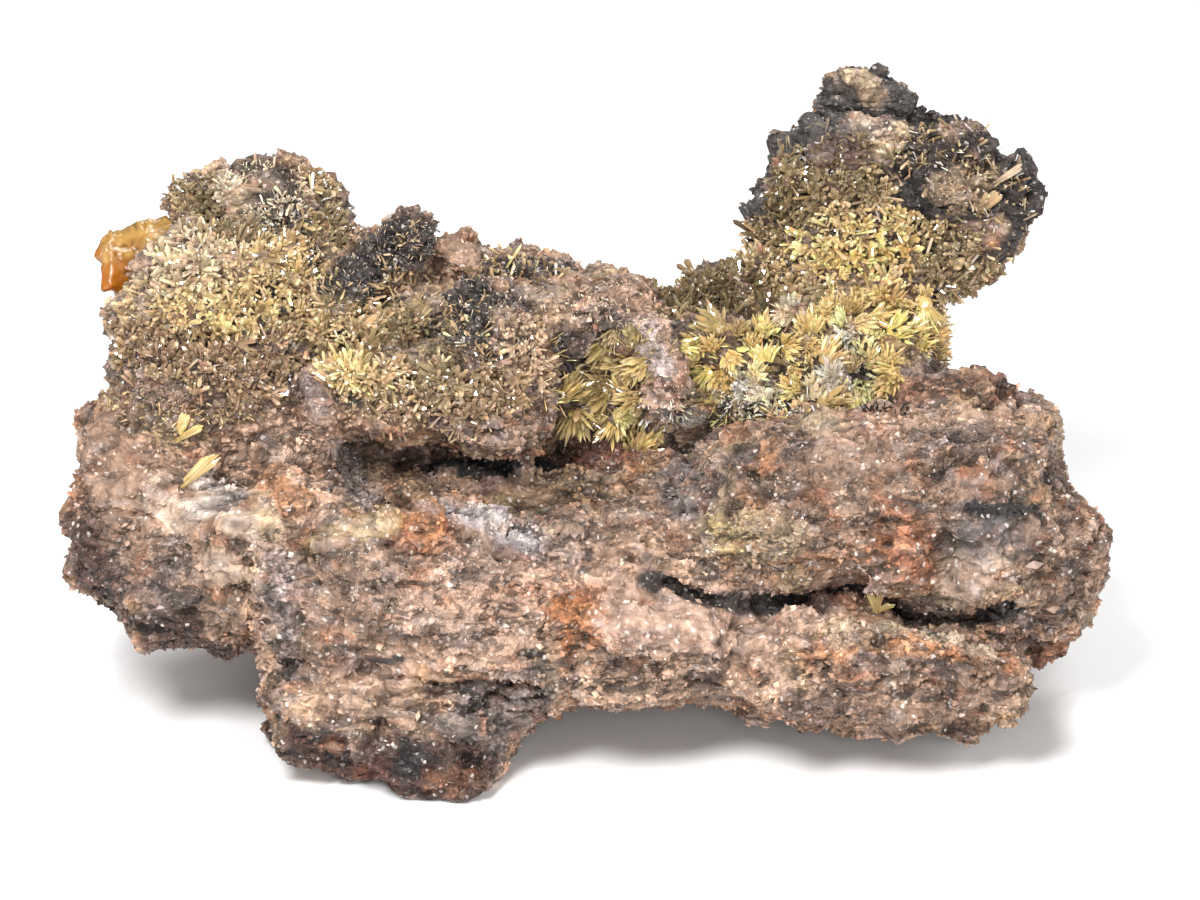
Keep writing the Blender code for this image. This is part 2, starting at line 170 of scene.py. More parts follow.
def set_colour(mesh, name, colours):
    """A colour for each vertex, as an attribute that the materials read."""
    layer = mesh.attributes.new(name, "FLOAT_COLOR", "POINT")
    rgba = np.ones((len(colours), 4), np.float32)
    rgba[:, :3] = colours
    layer.data.foreach_set("color", rgba.ravel())


def mesh_of(name, bm):
    """A mesh of what the bmesh holds, which is freed."""
    mesh = bpy.data.meshes.new(name)
    bm.to_mesh(mesh)
    bm.free()
    return mesh


def apply_modifiers(obj):
    bpy.context.view_layer.update()
    evaluated = obj.evaluated_get(bpy.context.evaluated_depsgraph_get())
    mesh = bpy.data.meshes.new_from_object(evaluated)
    obj.modifiers.clear()
    obj.data = mesh


def add_relax(obj, passes, group=""):
    """A smoothing modifier, for the vertex group alone if one is named."""
    relax = obj.modifiers.new("relax", "SMOOTH")
    relax.factor = 0.5
    relax.iterations = passes
    relax.vertex_group = group


def remesh(obj, voxel, passes):
    """Makes one skin of the object's overlapping solids, and relaxes it."""
    skin = obj.modifiers.new("remesh", "REMESH")
    skin.mode = "VOXEL"
    skin.voxel_size = voxel * MM
    add_relax(obj, passes)
    apply_modifiers(obj)


def scaled(points, size, stretch, shift):
    """Points for a noise function, whose features then come out about size mm large."""
    return [Vector(p) for p in points / (np.array(stretch) * size * MM) + shift]


def noise_at(points, size, stretch=(1, 1, 1), shift=0.0):
    return np.array([noise.noise(p) for p in scaled(points, size, stretch, shift)])


def fractal_at(points, size, octaves, stretch=(1, 1, 1), shift=0.0):
    places = scaled(points, size, stretch, shift)
    return np.array([noise.fractal(p, 0.9, 2.0, octaves) for p in places])


def cells_at(points, size):
    """The distance to the nearest centre of Voronoi cells, in cells."""
    return np.array([noise.voronoi(p)[0][0] for p in scaled(points, size, (1, 1, 1), 0.0)])


def blocks_at(points, size, stretch=(1, 1, 1), shift=0.0):
    """A random height for each block of the rock, -1 to 1, the same all over the block."""
    centres = [noise.voronoi(p)[1][0] for p in scaled(points, size, stretch, shift)]
    return np.array([noise.noise(centre * 7.7) for centre in centres]) * 1.6


def bent(points, reach, size, shift):
    """Points moved by up to reach mm, so that blocks and beds have wavering edges."""
    moves = [noise_at(points, size, shift=shift + i) for i in range(3)]
    return points + reach * MM * np.stack(moves, axis=1)


# --- Where the crystals grow ---

# For each CAD node: the zones of tufts and the zones of single crystals, each a radius and a path
# in pixels. Here and below, a path is a line through pixels, written "u,v u,v".
FIELDS = (
    ("mimetite_left_crest",
     ((34, "185,245 235,240 285,268"), (34, "180,290 240,298 195,322 285,322"),
      (16, "326,192 340,235"), (15, "195,195 214,215"), (34, "150,350 215,368 275,362"),
      (16, "132,330 128,352"), (18, "206,192 220,182"), (17, "316,184 328,196"),
      (15, "142,285 128,318")),
     ((32, "255,205 300,235 300,285"), (14, "180,190 186,215"))),
    ("mimetite_middle_crest",
     ((30, "340,345 360,385 425,392"), (26, "470,402 450,378 500,392"), (20, "524,335 532,372"),
      (18, "405,322 360,325")),
     ((26, "320,310 380,290 420,290"), (14, "380,262 412,232"), (30, "440,300 480,340"),
      (24, "490,275 560,275"), (24, "400,425 480,425"))),
    ("mimetite_pocket",
     ((28, "580,390 600,360 615,415"), (22, "640,430 625,345")),
     ((34, "600,400 640,350"), (20, "550,350 552,400"))),
    ("mimetite_saddle",
     ((30, "705,355 760,350 780,385 840,395"), (30, "830,350 865,312 905,325"),
      (20, "880,375 870,400 930,330"), (16, "742,346 800,328")),
     ((22, "690,412 740,412 800,410 850,408"), (30, "760,370 860,350"))),
    ("mimetite_horn",
     ((40, "690,305 750,285 800,290"), (40, "775,245 840,235 900,248 955,268"),
      (26, "800,190 870,190")),
     ((34, "800,160 840,150 880,165"), (44, "940,150 1000,200 980,240"))),
)

CRYSTAL_ZONES = [zone for _, dense, _ in FIELDS for zone in dense]

# --- The rock ---

ROCK_VOXEL = 0.42  # mm
ROCK_TRIANGLES = 192000
WEAR_PASSES = 70  # of smoothing, on the back and the underside
REAR_RELIEF = (-2.0, 1.0)  # how far the relief there goes in and out, in mm
RELIEF = (-2.2, 1.3)  # and that of the whole rock

# Forms added to the rock: path, radius in pixels, how far it stands out of the surface in mm.
FORMS = (
    ("268,458 318,450", 34, 2.4),
    ("282,480 292,510", 26, 1.2),
    ("402,506 424,534", 30, 2.4),
    ("264,548 262,580 264,612 272,640", 13, 0.9),
    ("318,540 352,528 385,518", 12, 0.7),
    ("345,296 372,266 398,240 410,230", 29, 2.1),
    ("440,254 460,256 474,272", 20, 1.2),
    ("450,505 500,520", 20, 0.6),
    ("835,640 880,636 930,640 1000,655", 14, 0.7),
    ("570,640 640,650 720,640", 30, 0.9),
    ("1000,622", 20, 1.0),
    ("1000,385 1014,380", 13, 1.0),
    ("80,560 85,575", 18, 0.5),
    ("310,385 325,415 352,428", 16, 0.8),
    ("470,415 512,435 542,430", 17, 0.9),
    ("655,325 668,372 676,402", 18, 1.0),
    ("855,84 875,80", 20, 0.9),
    ("895,98 903,114", 14, 0.9),
    ("815,112 812,130", 19, 1.0),
    ("788,152 783,170", 15, 0.9),
    ("764,202", 12, 0.8),
    ("868,130 898,134", 16, 0.8),
    ("932,146 975,142", 18, 1.2),
    ("998,182 1014,210", 20, 1.0),
    ("940,196 962,186", 15, 0.9),
    ("985,252 1000,238", 17, 0.9),
    ("560,668 500,656 440,652", 22, 1.2),
    ("598,686 640,691 686,687", 26, 0.5),
    ("715,402 760,408 800,412", 13, 0.7),
)

WEDGE_START = 2.5  # how far in front of the rock a cleft's wedge begins, in mm
WEDGE_MOUTH, WEDGE_ROOT = 1.7, 0.5  # its half height there and at its depth, as shares
DEEP_FROM = 4  # the half height, in pixels, from which a cleft has its whole depth

# Dark clefts cut into the rock: path of u,v,half height in pixels, and depth in mm.
CLEFTS = (
    ("650,581,2 672,583,4 690,594,5 712,601,4 735,604,3 765,604,3 790,600,4 806,593,6 832,590,8 "
     "858,587,10 872,600,10 892,607,9 908,614,9 935,620,8 960,621,8 985,618,11 1004,610,10 "
     "1018,608,3", 8.0),
    ("370,659,1 380,660,2 392,661,3 399,658,1", 3.0),
    ("968,508,2 985,510,3 1010,512,3 1036,510,2", 3.5),
    ("345,437,1 395,444,2 440,452,5 470,458,8 505,464,7 540,458,5 560,446,4 600,442,3 640,436,2",
     4.0),
    ("560,694,1 520,684,4 480,682,5 430,682,5 398,680,2", 3.2),
    ("258,538,1 248,558,5 246,590,7 250,620,6 262,645,4 290,656,1", 2.6),
)

# Even patches of quartz and clay, with fewer crumbs on them: radius and path.
CALM = (
    (26, "165,508 210,512 245,520"),
    (20, "205,565 240,580"),
    (34, "100,430 120,460 110,490"),
    (19, "455,512 495,515 525,545"),
    (30, "620,610 690,625 760,625"),
    (26, "955,585 985,560"),
    (20, "985,532 1030,538"),
    (14, "322,542 352,530 388,520"),
    (24, "350,675 400,675"),
)

BLUNTED = Vector((4.26, -20.58, 4.46)) * MM  # a corner below the front that sticks out too far
BLUNTING = (VIEW_UP * 1.9 - VIEW_NEAR * 0.5) * MM  # how far it moves in


def add_forms(bm, tree):
    """Rows of overlapping balls along the forms' paths."""
    for path, radius, proud in FORMS:
        size = radius * PIXEL
        ends = [hit(tree, u, v) for u, v in pixels(path)]
        for (a, normal_a), (b, normal_b) in zip(ends, ends[1:] or ends):
            steps = max(2, int((b - a).length / (0.5 * size)) + 1)
            for i in range(steps):
                t = i / (steps - 1)
                outward = normal_a.lerp(normal_b, t).normalized()
                place = Matrix.Translation(a.lerp(b, t) - outward * (size - proud * MM))
                bmesh.ops.create_icosphere(bm, subdivisions=2, radius=size, matrix=place)


def cleft_cutter(tree):
    """One closed wedge for each cleft, from in front of the rock to its depth."""
    bm = bmesh.new()
    for path, depth in CLEFTS:
        spots = pixels(path)
        rings = []
        for i, (u, v, half) in enumerate(spots):
            place, _ = hit(tree, u, v)
            before, after = spots[max(i - 1, 0)], spots[min(i + 1, len(spots) - 1)]
            along = Vector((after[0] - before[0], before[1] - after[1])).normalized()
            up = (VIEW_UP * along.x - Vector((along.y, 0, 0))) * half * PIXEL
            mouth = place + VIEW_NEAR * WEDGE_START * MM
            root = place - VIEW_NEAR * depth * MM * min(1, half / DEEP_FROM)
            ring = (mouth - up * WEDGE_MOUTH, root - up * WEDGE_ROOT,
                    root + up * WEDGE_ROOT, mouth + up * WEDGE_MOUTH)
            rings.append([bm.verts.new(corner) for corner in ring])
        bm.faces.new(rings[0][::-1])
        bm.faces.new(rings[-1])
        for low, high in zip(rings, rings[1:]):
            for i in range(4):
                j = (i + 1) % 4
                bm.faces.new((low[i], low[j], high[j], high[i]))
    bmesh.ops.recalc_face_normals(bm, faces=bm.faces)
    return new_object("cleft_cutter", mesh_of("cleft cutter", bm))


def make_rock():
    """The matrix with its clefts and forms, as one skin."""
    cad = nodes["matrix"].data
    tree = tree_of(cad)
    bm = bmesh.new()
    bm.from_mesh(cad)
    bmesh.ops.remove_doubles(bm, verts=bm.verts, dist=0.01 * MM)
    corner = tree.find_nearest(BLUNTED)[0]
    nearest = min(bm.verts, key=lambda vert: (vert.co - corner).length)
    nearest.co += BLUNTING
    rock = new_object("rock", mesh_of("rock", bm))
    cutter = cleft_cutter(tree)
    cut = rock.modifiers.new("clefts", "BOOLEAN")
    cut.operation = "DIFFERENCE"
    cut.object = cutter
    cut.use_self = True
    apply_modifiers(rock)
    bpy.data.objects.remove(cutter)
    bm = bmesh.new()
    bm.from_mesh(rock.data)
    add_forms(bm, tree)
    bm.to_mesh(rock.data)
    bm.free()
    remesh(rock, ROCK_VOXEL, 3)
    coarsen_behind(rock)
    return rock


def ledge(phase, rise, fall):
    """The profile of one bed, -0.5 at its foot and 0.5 where it stands out."""
    return smooth(0.0, rise, phase) * smooth(1.0, fall, phase) - 0.5


def strata(points, thickness=1.9):
    """Beds that jut out and fall back to a dark gap, -0.5 to 0.5."""
    height = points[:, 2] / MM + 0.06 * points[:, 0] / MM
    height += 1.1 * noise_at(points, 7.0, stretch=(1.6, 1.6, 1), shift=51.0)
    height += 0.35 * noise_at(points, 2.2, shift=52.0)
    phase = (height / thickness) % 1
    power = smooth(-0.25, 0.35, noise_at(points, 8.0, stretch=(1.4, 1.4, 0.7), shift=53.0))
    return power * ledge(phase, 0.35, 0.9)


def coarsen_behind(rock):
    """Wears the back and the underside into blunt ledges, and thins the mesh out, there first."""
    weight = 0.03 + 0.77 * behind(normals(rock.data))
    group = rock.vertex_groups.new(name="behind")
    for level in range(1, 11):  # in tenths
        members = np.nonzero(np.round(weight * 10) == level)[0]
        if len(members):
            group.add(members.tolist(), level / 10, "REPLACE")
    add_relax(rock, WEAR_PASSES, group.name)
    apply_modifiers(rock)
    points = coords(rock.data)
    outward = normals(rock.data)
    away = behind(outward)
    part = np.nonzero(away > 0.01)[0]
    spots = points[part]
    bend = bent(spots, 1.2, 4.0, 151.0)
    boulders = blocks_at(bend, 7.0, stretch=(1.5, 1.5, 0.8), shift=141.0)
    swell = fractal_at(spots, 12.0, 3, shift=143.0)
    rugged = 1.1 * swell + 0.8 * boulders + 1.3 * strata(bend, 3.9) - 0.2
    rugged *= away[part] * smooth(0.0, 2.5 * MM, spots[:, 2] - cad_box[0][2])
    points[part] += outward[part] * (np.clip(rugged, *REAR_RELIEF) * MM)[:, None]
    set_coords(rock.data, points)
    # The first pass thins the back most, the second brings the rest down to the budget evenly.
    for _ in range(2):
        triangles = sum(len(p.vertices) - 2 for p in rock.data.polygons)
        thin = rock.modifiers.new("thin", "DECIMATE")
        thin.ratio = min(1, ROCK_TRIANGLES / triangles)
        thin.vertex_group = group.name if triangles > 1.3 * ROCK_TRIANGLES else ""
        thin.use_collapse_triangulate = True
        apply_modifiers(rock)
    rock.vertex_groups.clear()


# Dark rock in thin layers: radius and path.
LAYERED = (
    (52, "815,115 855,105 900,115"),
    (44, "930,145 985,155 1010,200"),
    (34, "350,290 385,252 410,230"),
    (40, "455,305 470,340 500,325"),
    (26, "410,690 480,695 540,700"),
    (22, "850,665 920,668 1000,672"),
)


def zone_weight(points, tree, zones):
    """How well each point lies inside the zones, 0 to 1."""
    weight = np.zeros(len(points))
    for radius, path in zones:
        far = distance_to_path(points, places_on(tree, path)) / (radius * PIXEL)
        weight = np.maximum(weight, 1 - smooth(0.75, 1.1, far))
    return weight


def cleft_zones(margin):
    """Zones round the clefts that are painted black as shade: radius and path."""
    return [(max(half for _, _, half in pixels(path)) + 3 + margin, path) for path, _ in CLEFTS[:3]]


def roughen(rock):
    """Gives the rock ledges, blocks, pits and crumbs, and domes below the crystals.

    Returns how far each point is lifted, in mm.
    """
    mesh = rock.data
    points = coords(mesh)
    outward = normals(mesh)
    away = behind(outward)
    cad_tree = tree_of(nodes["matrix"].data)
    domed = zone_weight(points, tree_of(mesh), CRYSTAL_ZONES)
    split = zone_weight(points, cad_tree, cleft_zones(3))
    layered = zone_weight(points, cad_tree, LAYERED) * (1 - 0.6 * domed)
    bend = bent(points, 0.8, 2.5, 11.0)
    swell = fractal_at(points, 5.5, 3)
    blocks = blocks_at(bend, 3.6, stretch=(1.6, 1.4, 0.7))
    crumbs = blocks_at(bend, 1.3, stretch=(1.4, 1.3, 0.7), shift=31.0)
    pitted = smooth(0.0, 0.15, noise_at(points, 7, shift=77.0))
    pits = -smooth(0.42, 0.2, cells_at(bend, 3.0)) * pitted
    fine = noise_at(points, 0.7, shift=1.7)
    small = 0.55 * strata(bend) + 0.4 * crumbs + 0.9 * pits + 0.18 * fine
    leaves = (bend[:, 2] + 0.12 * bend[:, 0]) / MM / 1.35
    small += layered * ledge((leaves + 0.5 * noise_at(points, 3.0, shift=61.0)) % 1, 0.45, 0.8)
    plain = 0.6 * swell + 0.6 * blocks * (1 - 0.5 * away) + small * (1 - 0.7 * away)
    lumpy = 0.7 * swell + 2.4 * (0.36 - cells_at(bend, 3.1)) + 0.3 * crumbs + 0.15 * fine
    lift = np.clip(plain * (1 - domed) + lumpy * domed, *RELIEF)
    lift = lift * (1 - 0.85 * split) - 0.15 * split
    grounded = smooth(0.0, 1.2 * MM, points[:, 2] - cad_box[0][2])
    points += outward * (lift * MM * grounded)[:, None]
    points[:, 2] = np.maximum(points[:, 2], cad_box[0][2])
    set_coords(mesh, points)
    return lift


rock = make_rock()
lift = roughen(rock)
rock_points = coords(rock.data)
rock_normals = normals(rock.data)
rock_tree = tree_of(rock.data)

# --- Colours, linear ---

TAN = (0.56, 0.36, 0.25)
BROWN = (0.30, 0.19, 0.135)
DARK_BROWN = (0.13, 0.075, 0.055)
BLACK = (0.035, 0.028, 0.027)
CHARCOAL = (0.095, 0.085, 0.08)
GREY = (0.20, 0.165, 0.155)
PALE_GREY = (0.42, 0.34, 0.32)
LAVENDER = (0.62, 0.54, 0.55)
QUARTZ = (0.74, 0.57, 0.45)
CREAM = (0.72, 0.53, 0.34)
PINK = (0.68, 0.45, 0.34)
ORANGE = (0.66, 0.32, 0.15)
DEEP_ORANGE = (0.46, 0.19, 0.08)
RUST = (0.34, 0.13, 0.06)
BRICK = (0.20, 0.08, 0.055)
OLIVE = (0.42, 0.31, 0.16)
UMBER = (0.075, 0.038, 0.028)
YELLOW = (0.58, 0.42, 0.17)
WHITE = (0.85, 0.76, 0.70)
ROSE = (0.92, 0.60, 0.43)

ROCK_BRIGHTNESS, ROCK_SATURATION = 0.57, 1.04

# Mineral patches on the rock, with some patches of painted shade and painted light among them:
# colour, strength, radius in pixels, path.
PATCHES = (
    (TAN, 0.85, 46, "110,450 170,455 215,445"),
    (TAN, 0.7, 26, "92,425 92,470 100,500"),
    (BROWN, 0.35, 50, "110,440 120,480 190,450"),
    (BROWN, 0.8, 40, "100,535 140,565 175,600 220,625"),
    (GREY, 0.5, 24, "130,575 180,590 170,560"),
    (UMBER, 0.95, 34, "84,550 88,580"),
    # Painted shade: dark brown and umber under the left block.
    (DARK_BROWN, 1.0, 27, "112,608 180,638 240,655"),
    (UMBER, 0.8, 24, "112,600 180,625 240,645"),
    (QUARTZ, 0.75, 28, "165,506 210,506 245,500 248,530"),
    (WHITE, 0.5, 16, "205,480 235,492 200,510"),
    (QUARTZ, 0.3, 20, "205,565 240,580"),
    (TAN, 0.6, 14, "225,590 245,605"),
    (BROWN, 0.7, 10, "110,545 180,548 245,545"),
    (BLACK, 0.9, 8, "160,418 168,424"),
    (OLIVE, 0.6, 18, "150,425 185,430 230,420"),
    # Painted light: the left lump is painted lighter, rose and white, against the shade that falls
    # on it from above.
    (ROSE, 1.0, 44, "262,450 300,448 300,490"),
    (WHITE, 0.4, 26, "285,445 320,446"),
    (ORANGE, 0.35, 16, "265,440 300,436 318,450"),
    (ORANGE, 0.75, 15, "268,470 280,488 290,505 302,492"),
    (CREAM, 0.9, 14, "258,500 270,530"),
    (GREY, 0.75, 26, "345,468 355,490 385,492"),
    (PALE_GREY, 0.75, 12, "352,462 365,482 374,505"),
    # Painted shade: a dark ring round the orange lump.
    (UMBER, 0.8, 8, "380,520 384,545 402,562 436,560 454,540 456,512"),
    (RUST, 0.95, 32, "405,508 424,534"),
    (ORANGE, 0.45, 17, "394,500 428,503 430,530"),
    (YELLOW, 0.7, 17, "318,545 352,530 388,518"),
    (CREAM, 0.9, 13, "322,542 352,530 388,518"),
    (LAVENDER, 0.95, 21, "452,510 495,513 525,545"),
    (WHITE, 0.6, 12, "468,508 492,516 512,535"),
    (GREY, 0.5, 18, "500,560 560,550 590,545"),
    (PALE_GREY, 0.75, 20, "278,565 275,600 280,635"),
    (BROWN, 0.75, 44, "340,585 390,590 340,630"),
    (DARK_BROWN, 0.6, 18, "280,655 300,668 340,655"),
    (PINK, 0.6, 44, "450,590 520,600 450,625"),
    (PINK, 0.7, 20, "350,675 400,675"),
    # Painted shadow: a black line under the bulge's lower edge, on the foot.
    (BLACK, 0.8, 12, "430,690 480,690 540,694"),
    (TAN, 0.6, 24, "320,705 370,712 400,715"),
    (DARK_BROWN, 0.7, 20, "272,700 285,735 312,757"),
    (GREY, 0.8, 34, "480,720 525,718 455,745"),
    (UMBER, 0.95, 36, "320,750 370,765 400,765 470,775"),
    (BRICK, 0.95, 19, "372,768 384,778"),
    (UMBER, 0.45, 17, "376,768 384,778"),
    (BLACK, 1.0, 21, "412,760"),
    (RUST, 0.45, 18, "440,782 465,776"),
    (RUST, 0.6, 13, "330,745"),
    (PINK, 0.85, 44, "600,600 650,612 690,630 760,632"),
    (DEEP_ORANGE, 0.9, 25, "572,608 582,632"),
    (TAN, 0.85, 30, "600,675 660,684 740,690"),
    (GREY, 0.6, 11, "716,660 712,700"),
    (TAN, 0.6, 40, "600,540 660,548"),
    # Painted shadow: black and dark brown in the hollow under the overhanging lip.
    (BLACK, 1.0, 24, "448,460 500,472 545,464"),
    (DARK_BROWN, 0.7, 14, "360,446 410,452"),
    (BRICK, 0.85, 24, "570,452 625,458"),
    (DARK_BROWN, 0.6, 26, "400,486 460,492 560,500 620,500"),
    (OLIVE, 0.35, 20, "420,485 520,510 620,480 640,470"),
    (GREY, 0.85, 27, "680,480 692,500"),
    (CREAM, 0.35, 26, "715,515 790,535 740,550"),
    (OLIVE, 0.45, 26, "725,520 780,540 740,550"),
    (YELLOW, 0.5, 14, "715,525 730,545"),
    (BROWN, 0.85, 56, "810,475 880,485 960,470"),
    (ORANGE, 0.7, 12, "762,466 768,448"),
    (PINK, 0.55, 18, "860,432 905,425 820,440"),
    (RUST, 0.75, 30, "900,535 920,575"),
    (RUST, 0.6, 13, "972,470 986,492"),
    (RUST, 0.5, 16, "860,590 880,560"),
    (BRICK, 0.6, 20, "900,392 940,388 1005,392"),
    (GREY, 0.6, 20, "950,430 975,440"),
    (BROWN, 0.55, 40, "1000,430 1030,460"),
    (GREY, 1.0, 26, "985,532 1030,538"),
    # Painted shade: charcoal and black in the hollow under the ledge of the right body.
    (CHARCOAL, 0.35, 22, "975,522 1030,526"),
    (BLACK, 1.0, 9, "975,510 1030,512"),
    (QUARTZ, 0.4, 22, "955,585 985,560"),
    (BROWN, 0.7, 50, "1060,540 1080,600"),
    (TAN, 0.6, 14, "1075,500 1095,530"),
    (GREY, 0.8, 16, "885,628 930,632 965,634"),
    (ORANGE, 0.8, 20, "835,642 880,638 930,642 975,652 1010,662"),
    (CREAM, 0.75, 17, "840,634 890,632 940,638 985,650"),
    # Painted light: white lightens the orange ridge beyond its shading.
    (WHITE, 0.3, 15, "840,637 890,635 940,640 985,652"),
    (ORANGE, 0.3, 18, "840,644 890,642 940,646 985,658"),
    (PINK, 0.6, 18, "800,625 830,618"),
    (GREY, 0.6, 12, "860,666 920,670 960,668"),
    (BROWN, 0.85, 34, "850,695 920,700 975,700"),
    (DARK_BROWN, 0.7, 12, "790,705 850,724 905,732 960,732"),
    (TAN, 0.5, 16, "1022,682"),
    (RUST, 0.75, 20, "1045,655 1060,660"),
    (PALE_GREY, 0.5, 16, "1005,622"),
    (CREAM, 0.7, 60, "200,262 250,252 200,305"),
    (OLIVE, 0.6, 26, "330,208 338,240 222,232"),
    (CREAM, 0.6, 40, "220,190 300,190 330,220"),
    (BLACK, 0.85, 14, "236,174 262,165 290,180"),
    (BLACK, 0.8, 15, "258,194 292,206 268,214"),
    (BLACK, 0.85, 14, "300,226 312,250 302,290 275,294"),
    (BLACK, 0.6, 12, "180,182"),
    (PINK, 0.6, 20, "138,318 124,346"),
    (BROWN, 0.75, 54, "170,372 230,384 285,372 200,345"),
    (BRICK, 0.4, 24, "272,352 302,392"),
    (BLACK, 0.9, 16, "276,298 300,292 325,286"),
    (BLACK, 0.95, 34, "340,292 382,254 412,232 424,240"),
    (TAN, 1.0, 25, "440,252 466,270"),
    (BLACK, 0.9, 40, "455,305 470,340 500,325"),
    (BLACK, 0.75, 20, "335,298 372,300"),
    (BLACK, 0.9, 17, "495,270 525,268 560,270"),
    (YELLOW, 0.7, 34, "345,358 382,384 328,330"),
    (OLIVE, 0.7, 28, "402,312 440,382 470,402"),
    (PINK, 0.6, 24, "485,372 516,392 512,330"),
    (BROWN, 0.95, 19, "318,402 370,422 430,416 480,428 522,442 545,432"),
    (PALE_GREY, 0.6, 9, "300,352 304,380 320,408"),
    # Painted shade: black gaps in the hollow of the pocket.
    (BLACK, 0.85, 24, "566,345 566,402"),
    (BLACK, 0.8, 16, "592,350 610,330"),
    (BLACK, 0.8, 14, "632,408 672,392"),
    (PINK, 0.7, 24, "622,292 650,338 662,372 660,396"),
    (LAVENDER, 0.6, 18, "640,330 658,372"),
    (WHITE, 0.8, 13, "665,410 692,416"),
    (BROWN, 0.5, 16, "585,285 635,290"),
    (YELLOW, 0.7, 40, "700,365 780,375 850,345 900,330"),
    (WHITE, 0.8, 13, "742,390 768,394"),
    (WHITE, 0.8, 15, "826,388 868,384"),
    (BROWN, 0.6, 44, "700,302 762,292 722,332"),
    (OLIVE, 0.6, 36, "782,242 832,232 872,262"),
    (CHARCOAL, 1.0, 46, "812,118 850,104 892,104"),
    (CHARCOAL, 1.0, 32, "798,130 776,150 768,180 752,215"),
    (DARK_BROWN, 0.8, 34, "826,172 872,166 850,190"),
    (BLACK, 0.95, 40, "925,140 940,125 985,135 1025,168 1022,222 960,180 925,185"),
    (BLACK, 0.8, 30, "985,250 1000,240"),
    (CREAM, 0.7, 14, "850,74 868,80 872,92"),
    (CREAM, 0.95, 17, "866,126 892,132 884,142"),
    (LAVENDER, 0.4, 14, "862,122 884,128"),
    (CREAM, 0.6, 15, "938,190 965,180 985,172 960,200"),
    (PINK, 0.4, 12, "950,128 975,124"),
    (OLIVE, 0.6, 24, "915,256 955,262"),
    (ORANGE, 0.9, 10, "992,236"),
    (PINK, 0.7, 12, "968,234 1000,226"),
    (DARK_BROWN, 0.8, 14, "930,300 938,320 925,366"),
)


def stained(colour, tone, weight):
    """Colours mixed with a tone, each point's by its own weight."""
    return colour + (tone - colour) * weight[:, None]


def on_rock(zones):
    return zone_weight(rock_points, rock_tree, zones)


def lay_patches(points, colour, patches, ragged):
    """Mixes each patch, of a mineral, of painted shade or of painted light, into the points'
    colours.
    """
    for tone, strength, radius, path in patches:
        far = distance_to_path(points, places_on(rock_tree, path)) / (radius * PIXEL) + ragged
        colour = stained(colour, tone, strength * (1 - smooth(0.75, 1.3, far)))
    return colour


def spotted(low, high, size, shift, stretch=(1, 1, 1)):
    """Where the rock has spots of noise, about size mm large: 0 to 1."""
    return smooth(low, high, noise_at(rock_points, size, stretch, shift))


def paint_rock():
    flat = (1.5, 1.5, 0.8)
    broad = fractal_at(rock_points, 9.0, 2, shift=21.0)
    bedded = fractal_at(rock_points, 6.0, 2, flat, 45.0)
    colour = np.tile(BROWN, (len(rock_points), 1))
    for tone, weight in (
        (TAN, smooth(-0.25, 0.25, broad)),
        (GREY, 0.7 * smooth(0.15, 0.5, bedded)),
        (RUST, 0.6 * smooth(0.3, 0.6, -bedded)),
        (DARK_BROWN, 0.7 * smooth(0.25, 0.6, -broad)),
        (OLIVE, 0.45 * spotted(0.1, 0.45, 4.5, 111.0)),
        (ORANGE, 0.4 * spotted(0.2, 0.5, 3.6, 113.0)),
        (PALE_GREY, 0.5 * spotted(0.15, 0.45, 4.0, 115.0)),
        (CREAM, 0.45 * spotted(0.2, 0.5, 3.2, 117.0)),
    ):
        colour = stained(colour, tone, weight)
    ragged = 0.38 * noise_at(rock_points, 2.4, shift=5.0)
    ragged += 0.25 * noise_at(rock_points, 0.9, shift=8.0)
    colour = lay_patches(rock_points, colour, PATCHES, ragged)
    # Painted shade: the clefts are painted near black.
    colour = stained(colour, BLACK, 0.95 * on_rock(cleft_zones(0)))
    # Painted shade: below the crystals all but the palest rock is darker, for the dark gaps between
    # them.
    gap_shade = on_rock(CRYSTAL_ZONES) * (0.6 * smooth(0.65, 0.4, colour.mean(axis=1)))
    colour = stained(colour, UMBER, gap_shade)
    # Small stains of the neighbouring minerals break the lighter patches up.
    light = smooth(0.03, 0.22, colour.mean(axis=1))
    for tone, size, shift in (
        (PALE_GREY, 1.3, 91.0),
        (RUST, 1.9, 93.0),
        (DARK_BROWN, 1.1, 95.0),
        (TAN, 1.5, 97.0),
    ):
        colour = stained(colour, tone, 0.55 * spotted(0.22, 0.5, size, shift, flat) * light)
    # Painted shade: the lower a point lies in the relief, the darker it is painted, pits most; and
    # each crumb has its own tone.
    tone = 1 + 0.5 * noise_at(rock_points, 0.8, shift=60.0)
    tone = tone + 0.3 * noise_at(rock_points, 2.0, shift=70.0)
    colour *= ((0.35 + 0.75 * smooth(-1.1, 0.3, lift)) * np.clip(tone, 0.4, 1.8))[:, None]
    grey = colour.mean(axis=1, keepdims=True)
    colour = ROCK_BRIGHTNESS * (grey + ROCK_SATURATION * (colour - grey))
    return np.clip(colour, 0.004, 0.9)


rock_colour = paint_rock()
set_colour(rock.data, "mineral", rock_colour)
calm = on_rock(CALM)
quiet = np.maximum(calm, 0.75 * spotted(0.0, 0.35, 7.0, 121.0))
set_colour(rock.data, "evenness", quiet[:, None])

# --- Materials ---


def new_material(name):
    """A material, its node tree and its surface shader."""
    material = bpy.data.materials.new(name)
    material.use_nodes = True
    return material, material.node_tree, material.node_tree.nodes["Principled BSDF"]


def set_inputs(node, **inputs):
    """Each input is a constant, or the output of another node to link to it."""
    for name, value in inputs.items():
        socket = node.inputs[name.replace("_", " ")]
        if isinstance(value, bpy.types.NodeSocket):
            node.id_data.links.new(value, socket)
        else:
            socket.default_value = value


def new_node(tree, kind, **inputs):
    node = tree.nodes.new("ShaderNode" + kind)
    set_inputs(node, **inputs)
    return node


